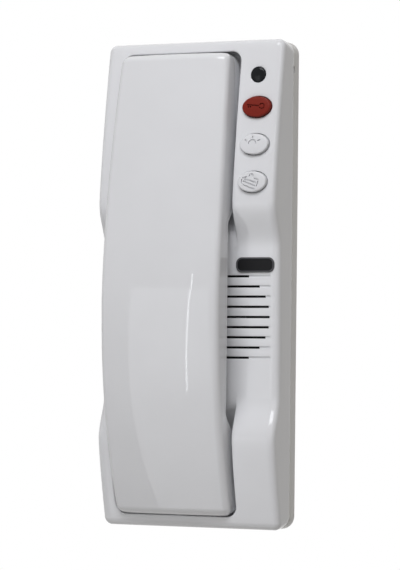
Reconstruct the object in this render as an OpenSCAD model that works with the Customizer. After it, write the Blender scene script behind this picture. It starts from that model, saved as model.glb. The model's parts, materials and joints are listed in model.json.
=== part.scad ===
// Audio intercom handset: a wall unit with its handset resting in two wells.
// Sizes are in millimetres. +X is right, +Z is up, the wall lies at Y = 0 and the front faces -Y.
// Most modules are drawn in wall coordinates: x across, y up the wall, z away from the wall.

/* [Wall unit] */
// Width of the wall unit
base_w = 88; // [84:0.5:95]
// Height of the wall unit
base_h = 220; // [216:1:232]
// Corner radius of the outline at the wall
corner_r = 6; // [4:0.5:8]
// Corner radius of the outline at the front
front_corner_r = 3.5; // [3:0.25:5]
// Rounding along the front edges
edge_r = 2.8; // [2:0.2:3.4]
// Wall thickness of the front cover
wall = 2.2; // [1.6:0.1:2.6]
// Depth of the back plate's visible rim
rim_d = 6; // [5:0.5:6.5]
// Thickness of the back plate's floor
plate_t = 2.5; // [1.8:0.1:3]
// Width of the pry notch in the rim
notch_w = 3; // [2:0.5:6]
// Gap of the seam between back plate and cover
seam_gap = 0.2; // [0.1:0.05:0.4]

/* [Front profile] */
// Depth of the front at the top edge
top_d = 17.2; // [15:0.2:20]
// Depth of the upper crest
crest_d = 27; // [25:0.2:30]
// Height of the upper crest on a unit of standard height
crest_at = 36; // [33:0.5:38]
// Depth of the lower front panel at its top
panel_d = 20.8; // [19.5:0.1:21]
// How much the lower panel falls back towards its bottom
panel_fall = 1; // [0.6:0.1:1.4]
// Height where the lower panel starts on a unit of standard height
panel_top_at = 16; // [13:0.5:17]
// Height where the lower panel ends on a unit of standard height
panel_end_at = -50; // [-52:0.5:-48]
// Height of the lower crest on a unit of standard height
low_crest_at = -70; // [-74:0.5:-66]
// Depth of the lower crest
low_crest_d = 25; // [23:0.2:27]
// Depth of the front at the bottom edge
bottom_d = 16.8; // [15:0.2:19]

/* [Wells] */
// Width of the button strip right of the wells
strip_w = 20.5; // [20.1:0.1:21.1]
// Width of the edge left of the wells
left_edge_w = 6.3; // [5.5:0.1:7.5]
// Depth of the well floors
well_floor_d = 10.5; // [10:0.1:11]
// Wall thickness of the wells
well_wall = 2; // [1.5:0.1:2.2]
// Room beside the handset at its widest place
well_side_gap = 1.4; // [0.8:0.1:1.8]
// Room above the handset
well_top_gap = 0.9; // [0.8:0.1:1.8]
// Room below the handset
well_low_gap = 0.4; // [0.3:0.05:1]
// How far above the panel the upper well runs out
upper_run_out = 6; // [4:0.5:8]
// How far below the panel the lower well runs out
lower_run_out = 4; // [3:0.5:6]
// Height taken by the sloped end of a well
well_ramp = 16; // [14:0.5:18]

/* [Handset] */
// Distance of the handset from the unit's top edge
handset_top_room = 6; // [5.8:0.1:8]
// Distance of the handset from the unit's bottom edge
handset_low_room = 5.8; // [5.4:0.1:8]
// Depth of the front edge at the thickest place
handset_d = 38.8; // [37:0.2:41]
// Height of the thickest place on a unit of standard height
handset_mid_at = -8; // [-14:1:-2]
// How far the front edge falls back at the top
handset_top_fall = 14.1; // [12:0.1:15]
// How far the front edge falls back at the bottom
handset_low_fall = 17; // [15:0.1:18]
// Narrowing of each side at the top
handset_top_taper = 2.4; // [1.6:0.1:3.2]
// Narrowing of each side at the bottom
handset_low_taper = 1; // [0.6:0.1:2]
// Height of the front's crown
handset_crown = 1.4; // [0.6:0.1:2]
// Corner radius of the handset's ends at the back
handset_corner_r = 5.5; // [4.5:0.5:7]
// Corner radius of the handset's ends at the front
handset_front_corner_r = 3.5; // [3:0.25:4.5]
// Rounding of the front edge
handset_edge_r = 3; // [2.4:0.2:3.6]
// Rounding of the front face towards the ends
handset_end_r = 3; // [2:0.5:4]
// Wall thickness of the handset's shells
handset_wall = 2; // [1.5:0.1:2.4]
// Depth of the grip's back
grip_back_d = 26.4; // [25.8:0.1:27.5]
// Gap between the pads and the well floors
pad_gap = 0.8; // [0.6:0.1:1.2]

/* [Controls] */
// Distance of the button column from the right edge
column_inset = 10.6; // [10:0.1:10.9]
// Distance of the door button from the top edge
door_drop = 31; // [30:0.5:32]
// Distance between buttons
button_pitch = 16.9; // [16.5:0.1:17.5]
// Width of a button
button_w = 13.8; // [12:0.2:14.2]
// Height of a button
button_h = 9.4; // [8:0.2:9.6]
// How far a button stands out
button_proud = 2; // [1.5:0.1:2.6]
// Travel of a button
button_travel = 1.2; // [0.8:0.1:1.4]
// Gap around a button
button_gap = 0.3; // [0.2:0.05:0.4]
// Distance of the indicator lens from the right edge
lens_inset = 11.3; // [10.6:0.1:11.8]
// Distance of the indicator lens from the top edge
lens_drop = 16.3; // [15.6:0.1:17]
// Diameter of the indicator lens
lens_dia = 7.2; // [6:0.1:7.6]
// Width of the name plate
plate_w = 18.6; // [14:0.2:19]
// Height of the name plate
plate_h = 6.8; // [5:0.2:7]
// Distance of the name plate's middle from the right edge
plate_inset = 11.5; // [11:0.1:12.5]
// Distance of the name plate's middle below the panel's top
plate_drop = 7.6; // [7:0.1:8.4]

/* [Speaker] */
// Distance of the speaker's middle from the right edge
speaker_inset = 26; // [25.6:0.1:27]
// Height of the speaker's middle above the panel's middle
speaker_rise = 2.1; // [0:0.1:3]
// Radius of the speaker's flange
speaker_r = 22.8; // [21:0.1:23]
// Radius of the open part of the grille
grille_r = 21.4; // [18:0.1:21.6]
// Number of grille slots
slot_count = 9; // [7:2:9]
// Distance between grille slots
slot_pitch = 4.55; // [4:0.05:4.7]
// Width of a grille slot
slot_w = 1; // [0.8:0.1:1.4]
// Depth of the shallow part of a grille slot
groove_d = 0.6; // [0.4:0.1:0.9]

/* [Hook] */
// Distance of the hook lever from the left edge
hook_inset = 19; // [17:0.5:21]
// Width of the hook lever
hook_w = 8; // [6:0.5:9]
// Distance of the hook pin below the upper well's flat floor
hook_drop = 11; // [10:0.5:12]
// Depth of the hook pin
hook_pin_d = 9; // [8.5:0.1:9.5]
// Diameter of the hook pin
hook_pin_dia = 3; // [2:0.5:3]
// Distance from the pin to the nose
hook_reach = 18.5; // [17:0.5:19]

/* [Fastening] */
// Distance between the two wall screws
wall_hole_pitch = 60; // [58:0.5:62]
// Diameter of the wall screw holes
wall_hole_dia = 4.5; // [3.5:0.1:5.5]
// Width of the cable window
window_w = 20; // [12:1:22]
// Height of the cable window
window_h = 18; // [12:1:20]
// Diameter of the cord that the grommets take
cord_dia = 3.6; // [3:0.1:4]
// Shank diameter of the small screws
screw_dia = 2.2; // [1.8:0.1:2.6]

/* [Hidden] */
$fn = 48;

// Clearances and overlaps
slip = 0.05;
fit_gap = 0.3;
join = 0.1;
skin = 1;
past = 1;
far = 60;

// Wall unit, derived
standard_h = 220;
stretch = base_h / standard_h;
half_w = base_w / 2;
half_h = base_h / 2;
end_r = 2.5;
cover_back_d = rim_d + seam_gap;
inner_half_w = half_w - wall;
inner_half_h = half_h - wall;
inner_corner_r = max(1, corner_r - wall);
crest_z = crest_at * stretch;
panel_top_z = panel_top_at * stretch;
panel_end_z = panel_end_at * stretch;
low_crest_z = low_crest_at * stretch;
panel_low_d = panel_d - panel_fall;
profile_step = 4;
profile_power = 1.3;
slope_run = 1;
lip_t = 1.2;
lip_h = 2;
notch_d = 1.2;
notch_drop = 13;
notch_z = half_h - notch_drop;

// Wells, derived
well_left = -half_w + left_edge_w;
well_right = half_w - strip_w;
well_half_w = (well_right - well_left) / 2;
well_top_z = half_h - handset_top_room + well_top_gap;
well_low_z = -half_h + handset_low_room - well_low_gap;
well_corner_r = 5;
well_wall_step = 6;
well_top_end_z = panel_top_z + upper_run_out;
well_low_end_z = panel_end_z - lower_run_out;
upper_ramp_z = well_top_end_z + well_ramp;
lower_ramp_z = well_low_end_z - well_ramp;
well_under_d = well_floor_d - well_wall;
well_lip = 0.5;
tub_run = 3;
tub_turn = 1.2;
tub_wall = well_wall + fit_gap;

// Handset, derived
handset_x = (well_left + well_right) / 2;
handset_half_w = well_half_w - well_side_gap;
handset_top_z = half_h - handset_top_room;
handset_low_z = -half_h + handset_low_room;
handset_mid_z = handset_mid_at * stretch;
top_power = 1.5;
side_power = 2.2;
pad_d = well_floor_d + pad_gap;
pad_ramp_shift = 5;
pad_ramp = 18;
ear_ramp_z = upper_ramp_z + pad_ramp_shift;
mouth_ramp_z = lower_ramp_z - pad_ramp_shift;
pad_back_r = 1.5;
inner_r_share = 0.7;
part_step = 0.2;
part_lift = handset_wall + part_step;
part_ear_lift = 6;
part_mouth_lift = 5;
part_gap = 0.1;
part_run = 2;
part_grip_d = grip_back_d + part_lift;
ring_step = 8;
receiver_r = 17.5;
receiver_rim_t = 3;
receiver_t = 7;
receiver_cup_r = 12.5;
receiver_drop = 23;
receiver_z = handset_top_z - receiver_drop;
seat_ring_t = 1.2;
seat_ring_h = 3;
gasket_t = 0.8;
gasket_w = 4;
sound_ring_r = 6;
sound_hole_r = 1;
mic_r = 3;
mic_t = 5;
mic_rise = 10.5;
mic_z = handset_low_z + mic_rise;
mic_hole_gap = 1.8;
mic_hole_r = 0.6;
boot_wall = 1.4;
boot_floor_t = 0.8;
boot_lip = 0.6;
ear_screw_rise = 5.5;
ear_screw_z = ear_ramp_z + ear_screw_rise;
mouth_screw_drop = 4.2;
mouth_screw_z = mouth_ramp_z - mouth_screw_drop;
handset_screw_zs = [ear_screw_z, mouth_screw_z];
handset_boss_d = 22;
handset_boss_r = 3.8;
front_boss_r = 2.8;
boss_floor_t = 2;
handset_pilot = 4.5;
handset_screw_l = 6;

// Controls, derived
column_x = half_w - column_inset;
door_z = half_h - door_drop;
button_zs = [door_z, door_z - button_pitch, door_z - 2 * button_pitch];
flange_w = 1.2;
flange_side_w = 0.7;
flange_t = 1.2;
cap_cut = 20;
board_t = 1.6;
board_low_d = rim_d + lip_h;
board_top_d = board_low_d + board_t;
board_w = 13.6;
switch_w = 6;
switch_t = 3.5;
switch_stem_t = 0.8;
switch_stem_r = 1.7;
button_stem_r = 2;
switch_top_d = board_top_d + switch_t + switch_stem_t;
lens_x = half_w - lens_inset;
lens_z = half_h - lens_drop;
lens_proud = 0.2;
lens_dome = 0.9;
lens_flange = 1;
lens_hole_rise = 2;
lens_hole_d = board_top_d + lens_hole_rise;
led_r = 2.5;
led_rim = 0.4;
led_rim_t = 1;
top_screw_rise = 7.4;
board_screw_zs = [lens_z + top_screw_rise, door_z - button_pitch / 2, door_z - 1.5 * button_pitch];
board_pilot = 5;
board_screw_l = 4.4;
boss_r = 2.2;
plate_x = half_w - plate_inset;
plate_z = panel_top_z - plate_drop;
name_plate_t = 1.2;
name_plate_recess = 0.6;
name_plate_r = 1.6;

// Speaker, derived
speaker_x = half_w - speaker_inset;
speaker_z = (panel_top_z + panel_end_z) / 2 + speaker_rise;
seat_step = 0.2;
speaker_seat_d = panel_low_d - wall - seat_step;
speaker_flange_t = 1.2;
speaker_flange_w = 4;
speaker_ear_r = 3;
speaker_ear_reach = 2.7;
speaker_hole_r = speaker_r + speaker_ear_reach;
speaker_ear_angles = [60, 120, 240, 300];
speaker_pilot = 1.4;
speaker_screw_l = 1.2;
seat_inset = 0.6;
magnet_r = 13;
magnet_t = 4;
magnet_rise = 2;
magnet_low_d = plate_t + magnet_rise;
basket_t = 1.2;
cone_t = 0.5;
cone_rim_t = 0.3;
cone_rim_w = 0.8;
cone_edge_w = 5;
cone_lift = 2.4;
cone_cap_r = 6;
cone_cap_h = 2;
groove_run = 0.4;
groove_half = grille_r + groove_run;

// Hook, derived
hook_x = -half_w + hook_inset;
hook_pin_z = upper_ramp_z - hook_drop;
hook_bar_t = 2.2;
hook_bar_drop = 3.4;
hook_bar_low_d = hook_pin_d - hook_bar_drop;
hook_tail = 12;
hook_hub_wall = 1.7;
hook_hub_r = hook_pin_dia / 2 + hook_hub_wall;
hook_nose_r = 2;
hook_side_gap = 0.6;
hook_slot_start = 6.5;
hook_slot_run = 2;
hook_slot_cut = 6;
lug_t = 2.5;
lug_w = 5;
lug_rise = 5.5;
switch_gap = 0.6;
switch_low_d = hook_bar_low_d + hook_bar_t + switch_gap;
hook_switch_w = 10;
hook_switch_h = 8;
plunger_r = 1;
plunger_out = 0.5;
plunger_rise = 1.2;
spring_wire_r = 0.35;
spring_turns = 3;
spring_end_turn = 0.25;
spring_pitch = 0.9;
spring_gap = 0.15;
spring_arm = 0.6;
coil_r = hook_pin_dia / 2 + spring_wire_r + spring_gap;

// Line board, derived
line_drop = 4.6;
line_low_d = speaker_seat_d - line_drop;
line_top_d = line_low_d + board_t;
line_side_gap = 1.3;
line_left = -inner_half_w + line_side_gap;
line_speaker_gap = 1.2;
line_right = speaker_x - speaker_r - speaker_ear_r - line_speaker_gap;
line_rise = 30;
line_low_z = panel_end_z + line_rise;
line_top_rise = 2;
line_top_z = panel_top_z + line_top_rise;
line_inset = 3;
line_screw_places = [for (x = [line_left + line_inset, line_right - line_inset])
  for (z = [line_low_z + line_inset, line_top_z - line_inset]) [x, z]];
line_pilot = 3.4;
line_screw_l = 3;
terminal_w = 22;
terminal_h = 9;
terminal_t = 8;
terminal_x = hook_x;
terminal_rise = 10;
terminal_z = line_low_z + terminal_rise;
terminal_count = 4;
terminal_hole_r = 1.6;
terminal_screw_rise = 1.5;
terminal_floor_t = 2;
terminal_screw_drop = 0.6;
terminal_slot_w = 0.6;
terminal_slot_d = 1.2;
wire_hole_w = 2.8;
wire_low = 5;
wire_high = 2.4;

// Fastening, derived
wall_hole_r = wall_hole_dia / 2;
screw_r = screw_dia / 2;
head_rim = 1.1;
head_r = screw_r + head_rim;
head_t = 1.5;
pilot_r = screw_r + slip;
cover_screw_drop = 18;
cover_screw_zs = [half_h - cover_screw_drop, -half_h + cover_screw_drop];
cover_boss_r = 5;
plate_boss_r = 4;
grommet_wall = 0.6;
grommet_half = cord_dia / 2 + grommet_wall;
grommet_flange_t = 0.8;
grommet_rim = 1.2;
base_grommet_proud = 0.4;
base_grommet_rise = 20;
base_grommet_z = panel_end_z + base_grommet_rise;
base_grommet_d = 12;
handset_grommet_proud = 0.1;
handset_grommet_reach = 2;
handset_grommet_rise = 12;
handset_grommet_z = mouth_ramp_z + pad_ramp + handset_grommet_rise;
handset_grommet_d = part_grip_d + slip + grommet_half;
window_x = hook_x;
window_rise = 15;
window_z = panel_end_z + window_rise;

function mix(a, b, t) = a + (b - a) * t;
function smooth(t) = t <= 0 ? 0 : t >= 1 ? 1 : t * t * (3 - 2 * t);
// Drop of a rounded corner at a distance from its end
function round_drop(r, dist) = dist >= r ? 0 : r - sqrt(r * r - (r - dist) * (r - dist));

// Depth of the wall unit's front at a height
function front_d(z) =
  z >= crest_z ? mix(crest_d, top_d, pow((z - crest_z) / (half_h - crest_z), profile_power)) :
  z >= panel_top_z ? mix(panel_d, crest_d, smooth((z - panel_top_z) / (crest_z - panel_top_z))) :
  z >= panel_end_z ? mix(panel_d, panel_low_d, (panel_top_z - z) / (panel_top_z - panel_end_z)) :
  z >= low_crest_z ?
    mix(panel_low_d, low_crest_d, smooth((panel_end_z - z) / (panel_end_z - low_crest_z))) :
  mix(low_crest_d, bottom_d, pow((low_crest_z - z) / (low_crest_z + half_h), profile_power));
function front_slope(z) = atan((front_d(z + slope_run) - front_d(z - slope_run)) / (2 * slope_run));

// Distances of the rounding rings from a rounded end
function end_rings(r) = [for (a = [0:15:75]) r * (1 - cos(a))];
function arc(cx, cy, r, a0, a1, n) =
  [for (i = [0:n]) let (a = a0 + (a1 - a0) * i / n) [cx + r * cos(a), cy + r * sin(a)]];
function ellipse(rx, ry) = [for (i = [0:39]) [rx * cos(9 * i), ry * sin(9 * i)]];
function rounded(w, h, r) = concat(
  arc(w / 2 - r, h / 2 - r, r, 0, 90, 6), arc(-w / 2 + r, h / 2 - r, r, 90, 180, 6),
  arc(-w / 2 + r, -h / 2 + r, r, 180, 270, 6), arc(w / 2 - r, -h / 2 + r, r, 270, 360, 6));
function mid_rings(low, high, step) =
  let (n = ceil((high - low) / step)) [for (i = [0:n]) low + (high - low) * i / n];
function rings(low, high, r, step) = concat(
  [for (e = end_rings(r)) low + e], mid_rings(low + r, high - r, step),
  [for (e = [for (i = [5:-1:0]) end_rings(r)[i]]) high - e]);

// Heights of the cross-sections of the wall unit's front
base_rings = rings(-half_h, half_h, corner_r, profile_step);
function base_ring(z) =
  let (dist = half_h - abs(z), w = half_w - round_drop(front_corner_r, dist),
    back_w = half_w - round_drop(corner_r, dist), d = front_d(z) - round_drop(end_r, dist))
  concat([[-back_w, cover_back_d], [back_w, cover_back_d]],
    arc(w - edge_r, d - edge_r, edge_r, 0, 90, 4), arc(-w + edge_r, d - edge_r, edge_r, 90, 180, 4));

// Handset outline and depths at a height; inset draws the inside of the shells
function handset_up(z) = (z - handset_mid_z) / (handset_top_z - handset_mid_z);
function handset_down(z) = (handset_mid_z - z) / (handset_mid_z - handset_low_z);
function handset_front(z) = z >= handset_mid_z ?
  handset_d - handset_top_fall * pow(handset_up(z), top_power) :
  handset_d - handset_low_fall * pow(handset_down(z), side_power);
function handset_half(z) = z >= handset_mid_z ?
  handset_half_w - handset_top_taper * pow(handset_up(z), side_power) :
  handset_half_w - handset_low_taper * pow(handset_down(z), side_power);
function handset_back(z) = z >= 0 ?
  mix(grip_back_d, pad_d, smooth((z - ear_ramp_z + pad_ramp) / pad_ramp)) :
  mix(grip_back_d, pad_d, smooth((mouth_ramp_z + pad_ramp - z) / pad_ramp));
function handset_rings(inset) =
  rings(handset_low_z + inset, handset_top_z - inset, handset_corner_r - inset, ring_step);
function handset_ring(z, inset) =
  let (dist = min(handset_top_z - z, z - handset_low_z) - inset, r = handset_edge_r - inset * inner_r_share,
    w = handset_half(z) - inset - round_drop(handset_front_corner_r - inset, dist),
    back_w = handset_half(z) - inset - round_drop(handset_corner_r - inset, dist),
    d = handset_front(z) - inset - round_drop(handset_end_r, dist),
    b = handset_back(z) + inset, flat = w - r)
  concat(arc(-back_w + pad_back_r, b + pad_back_r, pad_back_r, 180, 270, 2),
    arc(back_w - pad_back_r, b + pad_back_r, pad_back_r, 270, 360, 2),
    arc(flat, d - r, r, 0, 90, 4),
    [for (k = [0.6, 0.2, -0.2, -0.6]) [k * flat, d + handset_crown * (1 - k * k)]],
    arc(-flat, d - r, r, 90, 180, 4));

// Solid through cross-sections that lie across the height
module loft(heights, sections) {
  n = len(sections[0]);
  last = len(sections) - 1;
  points = [for (i = [0:last]) for (p = sections[i]) [p[0], heights[i], p[1]]];
  sides = [for (i = [0:last - 1]) for (k = [0:n - 1])
    let (a = i * n + k, b = i * n + (k + 1) % n) each [[a, b, a + n], [b, b + n, a + n]]];
  first_cap = [for (k = [n - 1:-1:0]) k];
  last_cap = [for (k = [0:n - 1]) last * n + k];
  polyhedron(points, concat(sides, [first_cap], [last_cap]));
}

// Wall coordinates: x across, y up the wall, z away from the wall
module on_wall() rotate([90, 0, 0]) children();
// Outline of [height, depth] points, drawn across from x0 to x1
module across(x0, x1) translate([x0, 0, 0]) rotate([90, 0, 90]) linear_extrude(x1 - x0) children();
module block(x0, x1, z0, z1, d0, d1) translate([x0, z0, d0]) cube([x1 - x0, z1 - z0, d1 - d0]);
module rod(x, z, d0, d1, r) translate([x, z, d0]) cylinder(h = d1 - d0, r = r);
module rod_across(x0, x1, z, d, r) translate([x0, z, d]) rotate([0, 90, 0]) cylinder(h = x1 - x0, r = r);

// Screw driven from the wall side: head below its seat, shank above it
module screw_from_back(x, z, seat_d, length) {
  rod(x, z, seat_d - head_t, seat_d, head_r);
  rod(x, z, seat_d - join, seat_d + length, screw_r);
}
// Screw driven from the front: head above its seat, shank below it
module screw_from_front(x, z, seat_d, length) {
  rod(x, z, seat_d, seat_d + head_t, head_r);
  rod(x, z, seat_d - length, seat_d + join, screw_r);
}

// Box along X around a middle line
module bar_across(x0, x1, z, d, half) block(x0, x1, z - half, z + half, d - half, d + half);

// Square rubber grommet along X, its outer face at x0 and a flange at its inner end
module grommet(x0, z, d, depth, rim_z, rim_d) {
  flange_z = grommet_half + rim_z;
  flange_d = grommet_half + rim_d;
  difference() {
    union() {
      bar_across(x0, x0 + depth, z, d, grommet_half);
      block(x0 + depth - grommet_flange_t, x0 + depth, z - flange_z, z + flange_z,
        d - flange_d, d + flange_d);
    }
    rod_across(x0 - past, x0 + depth + past, z, d, cord_dia / 2);
  }
}

module back_plate() {
  color("gainsboro") on_wall() difference() {
    union() {
      linear_extrude(rim_d) polygon(rounded(base_w, base_h, corner_r));
      linear_extrude(rim_d + lip_h - fit_gap)
        polygon(rounded(2 * inner_half_w - fit_gap, 2 * inner_half_h - fit_gap, inner_corner_r));
    }
    difference() {
      translate([0, 0, plate_t]) linear_extrude(far)
        polygon(rounded(2 * (inner_half_w - lip_t), 2 * (inner_half_h - lip_t), inner_corner_r));
      for (z = cover_screw_zs) rod(handset_x, z, 0, rim_d, plate_boss_r);
    }
    for (z = cover_screw_zs) rod(handset_x, z, plate_t - skin, far, pilot_r);
    for (z = [-1, 1]) rod(0, z * wall_hole_pitch / 2, -past, far, wall_hole_r);
    translate([window_x, window_z, 0])
      block(-window_w / 2, window_w / 2, -window_h / 2, window_h / 2, -past, far);
    block(half_w - notch_d, far, notch_z - notch_w / 2, notch_z + notch_w / 2, rim_d - notch_d, far);
  }
}

module cover_body() loft(base_rings, [for (z = base_rings) base_ring(z)]);

module cover_cavity() intersection() {
  across(-inner_half_w, inner_half_w) polygon(concat(
    [for (z = mid_rings(-inner_half_h, inner_half_h, profile_step)) [z, front_d(z) - wall]],
    [[inner_half_h, cover_back_d - past], [-inner_half_h, cover_back_d - past]]));
  linear_extrude(far) polygon(rounded(2 * inner_half_w, 2 * inner_half_h, inner_corner_r));
}

// Underside of the upper well's sloped end
well_slope_z = well_top_end_z - tub_run;
well_slope_d = panel_d - tub_wall;
well_turn_z = upper_ramp_z - tub_turn;
function well_slope_under(z) =
  mix(well_slope_d, well_under_d, (z - well_slope_z) / (well_turn_z - well_slope_z));

// Solid around a well, kept below the front surface
module well_tubs() across(well_left - well_wall, well_right + well_wall) {
  polygon(concat(
    [for (z = mid_rings(well_slope_z, half_h - skin, profile_step)) [z, front_d(z) - skin]],
    [[half_h - skin, well_under_d], [well_turn_z, well_under_d], [well_slope_z, well_slope_d]]));
  lower_start = well_low_end_z + tub_run;
  polygon(concat(
    [for (z = mid_rings(-half_h + skin, lower_start, profile_step)) [z, front_d(z) - skin]],
    [[lower_start, panel_low_d - tub_wall], [lower_ramp_z + tub_turn, well_under_d],
      [-half_h + skin, well_under_d]]));
}

// The left wall of a well follows the handset's side; the right wall is straight
function well_wall_x(z) = handset_x - handset_half(z) - well_side_gap;
function upper_well_outline(low) =
  let (r = well_corner_r, turn_z = well_top_z - r)
  concat(arc(well_right - r, turn_z, r, 0, 90, 6), arc(well_wall_x(turn_z) + r, turn_z, r, 90, 180, 6),
    [for (z = mid_rings(-turn_z, -low, well_wall_step)) [well_wall_x(-z), -z]], [[well_right, low]]);
function lower_well_outline(top) =
  let (r = well_corner_r, turn_z = well_low_z + r)
  concat([for (z = mid_rings(-top, -turn_z, well_wall_step)) [well_wall_x(-z), -z]],
    arc(well_wall_x(turn_z) + r, turn_z, r, 180, 270, 6), arc(well_right - r, turn_z, r, 270, 360, 6),
    [[well_right, top]]);

// Space of the two wells, open at the front
module wells() {
  upper_end = panel_top_z + well_lip;
  lower_end = panel_end_z - well_lip;
  intersection() {
    across(well_left - past, well_right + past) polygon([[upper_end, panel_d], [well_top_end_z, panel_d],
      [upper_ramp_z, well_floor_d], [well_top_z, well_floor_d], [well_top_z, far], [upper_end, far]]);
    linear_extrude(far + past) polygon(upper_well_outline(upper_end - past));
  }
  intersection() {
    across(well_left - past, well_right + past) polygon([[lower_end, panel_low_d], [lower_end, far],
      [well_low_z, far], [well_low_z, well_floor_d], [lower_ramp_z, well_floor_d],
      [well_low_end_z, panel_low_d]]);
    linear_extrude(far + past) polygon(lower_well_outline(lower_end + past));
  }
}

module grille_slots() for (i = [0:slot_count - 1]) {
  offset_z = (i - (slot_count - 1) / 2) * slot_pitch;
  z = speaker_z + offset_z;
  half = sqrt(grille_r * grille_r - offset_z * offset_z);
  translate([speaker_x, z, 0]) {
    block(-half, half, -slot_w / 2, slot_w / 2, speaker_seat_d - past, far);
    block(-groove_half, groove_half, -slot_w / 2, slot_w / 2, front_d(z) - groove_d, far);
  }
}

speaker_ears = [for (a = speaker_ear_angles)
  [speaker_x + speaker_hole_r * cos(a), speaker_z + speaker_hole_r * sin(a)]];

module cover_bosses() {
  for (z = board_screw_zs) rod(column_x, z, board_top_d, front_d(z) - wall + skin, boss_r);
  for (p = line_screw_places) rod(p[0], p[1], line_top_d, front_d(p[1]) - skin, boss_r);
  for (p = speaker_ears) rod(p[0], p[1], speaker_seat_d, front_d(p[1]) - skin, boss_r);
  for (z = cover_screw_zs) rod(handset_x, z, cover_back_d, well_floor_d, cover_boss_r);
  for (s = [-1, 1]) translate([hook_x + s * (hook_w / 2 + hook_side_gap + lug_t / 2), hook_pin_z, 0])
    block(-lug_t / 2, lug_t / 2, -lug_w / 2, lug_w / 2, hook_pin_d - lug_w / 2, hook_pin_d + lug_rise);
  difference() {
    rod(speaker_x, speaker_z, speaker_seat_d, panel_low_d - skin, speaker_r);
    rod(speaker_x, speaker_z, 0, far, grille_r - seat_inset);
  }
}

module cover_screw_holes() {
  for (z = board_screw_zs) rod(column_x, z, 0, board_top_d + board_pilot, pilot_r);
  for (p = line_screw_places) rod(p[0], p[1], 0, line_top_d + line_pilot, pilot_r);
  for (p = speaker_ears) rod(p[0], p[1], 0, speaker_seat_d + speaker_pilot, pilot_r);
  for (z = cover_screw_zs) {
    rod(handset_x, z, 0, far, screw_r + fit_gap);
    rod(handset_x, z, well_floor_d - head_t - fit_gap, far, head_r + fit_gap);
  }
}

module front_cover() {
  color("whitesmoke") on_wall() difference() {
    union() {
      difference() {
        cover_body();
        cover_cavity();
      }
      well_tubs();
      cover_bosses();
    }
    wells();
    grille_slots();
    cover_screw_holes();
    for (z = button_zs) translate([column_x, z, switch_top_d]) linear_extrude(far)
      polygon(ellipse(button_w / 2 + button_gap, button_h / 2 + button_gap));
    rod(lens_x, lens_z, lens_hole_d, far, lens_dia / 2 + slip);
    translate([plate_x, plate_z, front_d(plate_z) - name_plate_recess]) linear_extrude(far)
      polygon(rounded(plate_w + 2 * slip, plate_h + 2 * slip, name_plate_r));
    block(hook_x - hook_w / 2 - hook_side_gap, hook_x + hook_w / 2 + hook_side_gap,
      hook_pin_z + hook_slot_start, hook_pin_z + hook_reach + hook_nose_r + hook_slot_run,
      0, well_floor_d + hook_slot_cut);
    rod_across(hook_x - far / 4, hook_x + far / 4, hook_pin_z, hook_pin_d, hook_pin_dia / 2 + slip);
    bar_across(-half_w - past, -inner_half_w + past, base_grommet_z, base_grommet_d, grommet_half + slip);
  }
}

module name_plate() {
  color("#26282b") on_wall() translate([plate_x, plate_z, front_d(plate_z) - name_plate_recess])
    linear_extrude(name_plate_t) polygon(rounded(plate_w, plate_h, name_plate_r));
}

lens_low_d = front_d(lens_z + lens_dia / 2 + lens_flange) - wall - lens_flange - join;
module indicator_lens() {
  top = front_d(lens_z) + lens_proud;
  color("#22262b") on_wall() translate([lens_x, lens_z, 0]) {
    rotate_extrude() polygon(concat([[0, lens_low_d], [lens_dia / 2, lens_low_d]],
      [for (a = [0:22.5:90]) [lens_dia / 2 * cos(a), top + lens_dome * sin(a)]]));
    rod(0, 0, lens_low_d, lens_low_d + lens_flange, lens_dia / 2 + lens_flange);
  }
}

module indicator_led() {
  dome_d = lens_low_d - board_top_d - led_r - join;
  color("tomato") on_wall() translate([lens_x, lens_z, board_top_d]) {
    cylinder(h = dome_d, r = led_r);
    translate([0, 0, dome_d]) sphere(r = led_r);
    cylinder(h = led_rim_t, r = led_r + led_rim);
  }
}

module button_board() {
  color("darkgreen") on_wall() difference() {
    block(column_x - board_w / 2, column_x + board_w / 2, button_zs[2] - switch_w,
      board_screw_zs[0] + boss_r, board_low_d, board_top_d);
    for (z = board_screw_zs) rod(column_x, z, 0, far, screw_r + fit_gap);
  }
}

module button_board_screws() {
  color("silver") on_wall() for (z = board_screw_zs)
    screw_from_back(column_x, z, board_low_d, board_t + board_screw_l);
}

module push_switches() {
  half = switch_w / 2;
  color("dimgray") on_wall() for (z = button_zs) translate([column_x, z, 0]) {
    block(-half, half, -half, half, board_top_d, board_top_d + switch_t);
    rod(0, 0, board_top_d + switch_t - join, switch_top_d, switch_stem_r);
  }
}

// Oval cap with a slanted top, a flange behind the cover and a stem above its switch
module push_button(z, tint) {
  reach_z = button_h / 2 + flange_w;
  flange_top = min(front_d(z + reach_z), front_d(z - reach_z)) - wall - fit_gap;
  stem_low = switch_top_d + button_travel + join;
  color(tint) on_wall() translate([column_x, z, 0]) {
    difference() {
      translate([0, 0, flange_top - flange_t]) linear_extrude(cap_cut)
        polygon(ellipse(button_w / 2, button_h / 2));
      translate([0, 0, front_d(z) + button_proud]) rotate([front_slope(z), 0, 0])
        block(-far, far, -far, far, 0, far);
    }
    translate([0, 0, flange_top - flange_t]) linear_extrude(flange_t)
      polygon(ellipse(button_w / 2 + flange_side_w, button_h / 2 + flange_w));
    rod(0, 0, stem_low, flange_top - flange_t / 2, button_stem_r);
  }
}
module door_button() push_button(button_zs[0], "firebrick");
module light_button() push_button(button_zs[1], "white");
module call_button() push_button(button_zs[2], "white");

module line_board() {
  color("darkgreen") on_wall() difference() {
    block(line_left, line_right, line_low_z, line_top_z, line_low_d, line_top_d);
    for (p = line_screw_places) rod(p[0], p[1], 0, far, screw_r + fit_gap);
  }
}

module line_board_screws() {
  color("silver") on_wall() for (p = line_screw_places)
    screw_from_back(p[0], p[1], line_low_d, board_t + line_screw_l);
}

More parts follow.
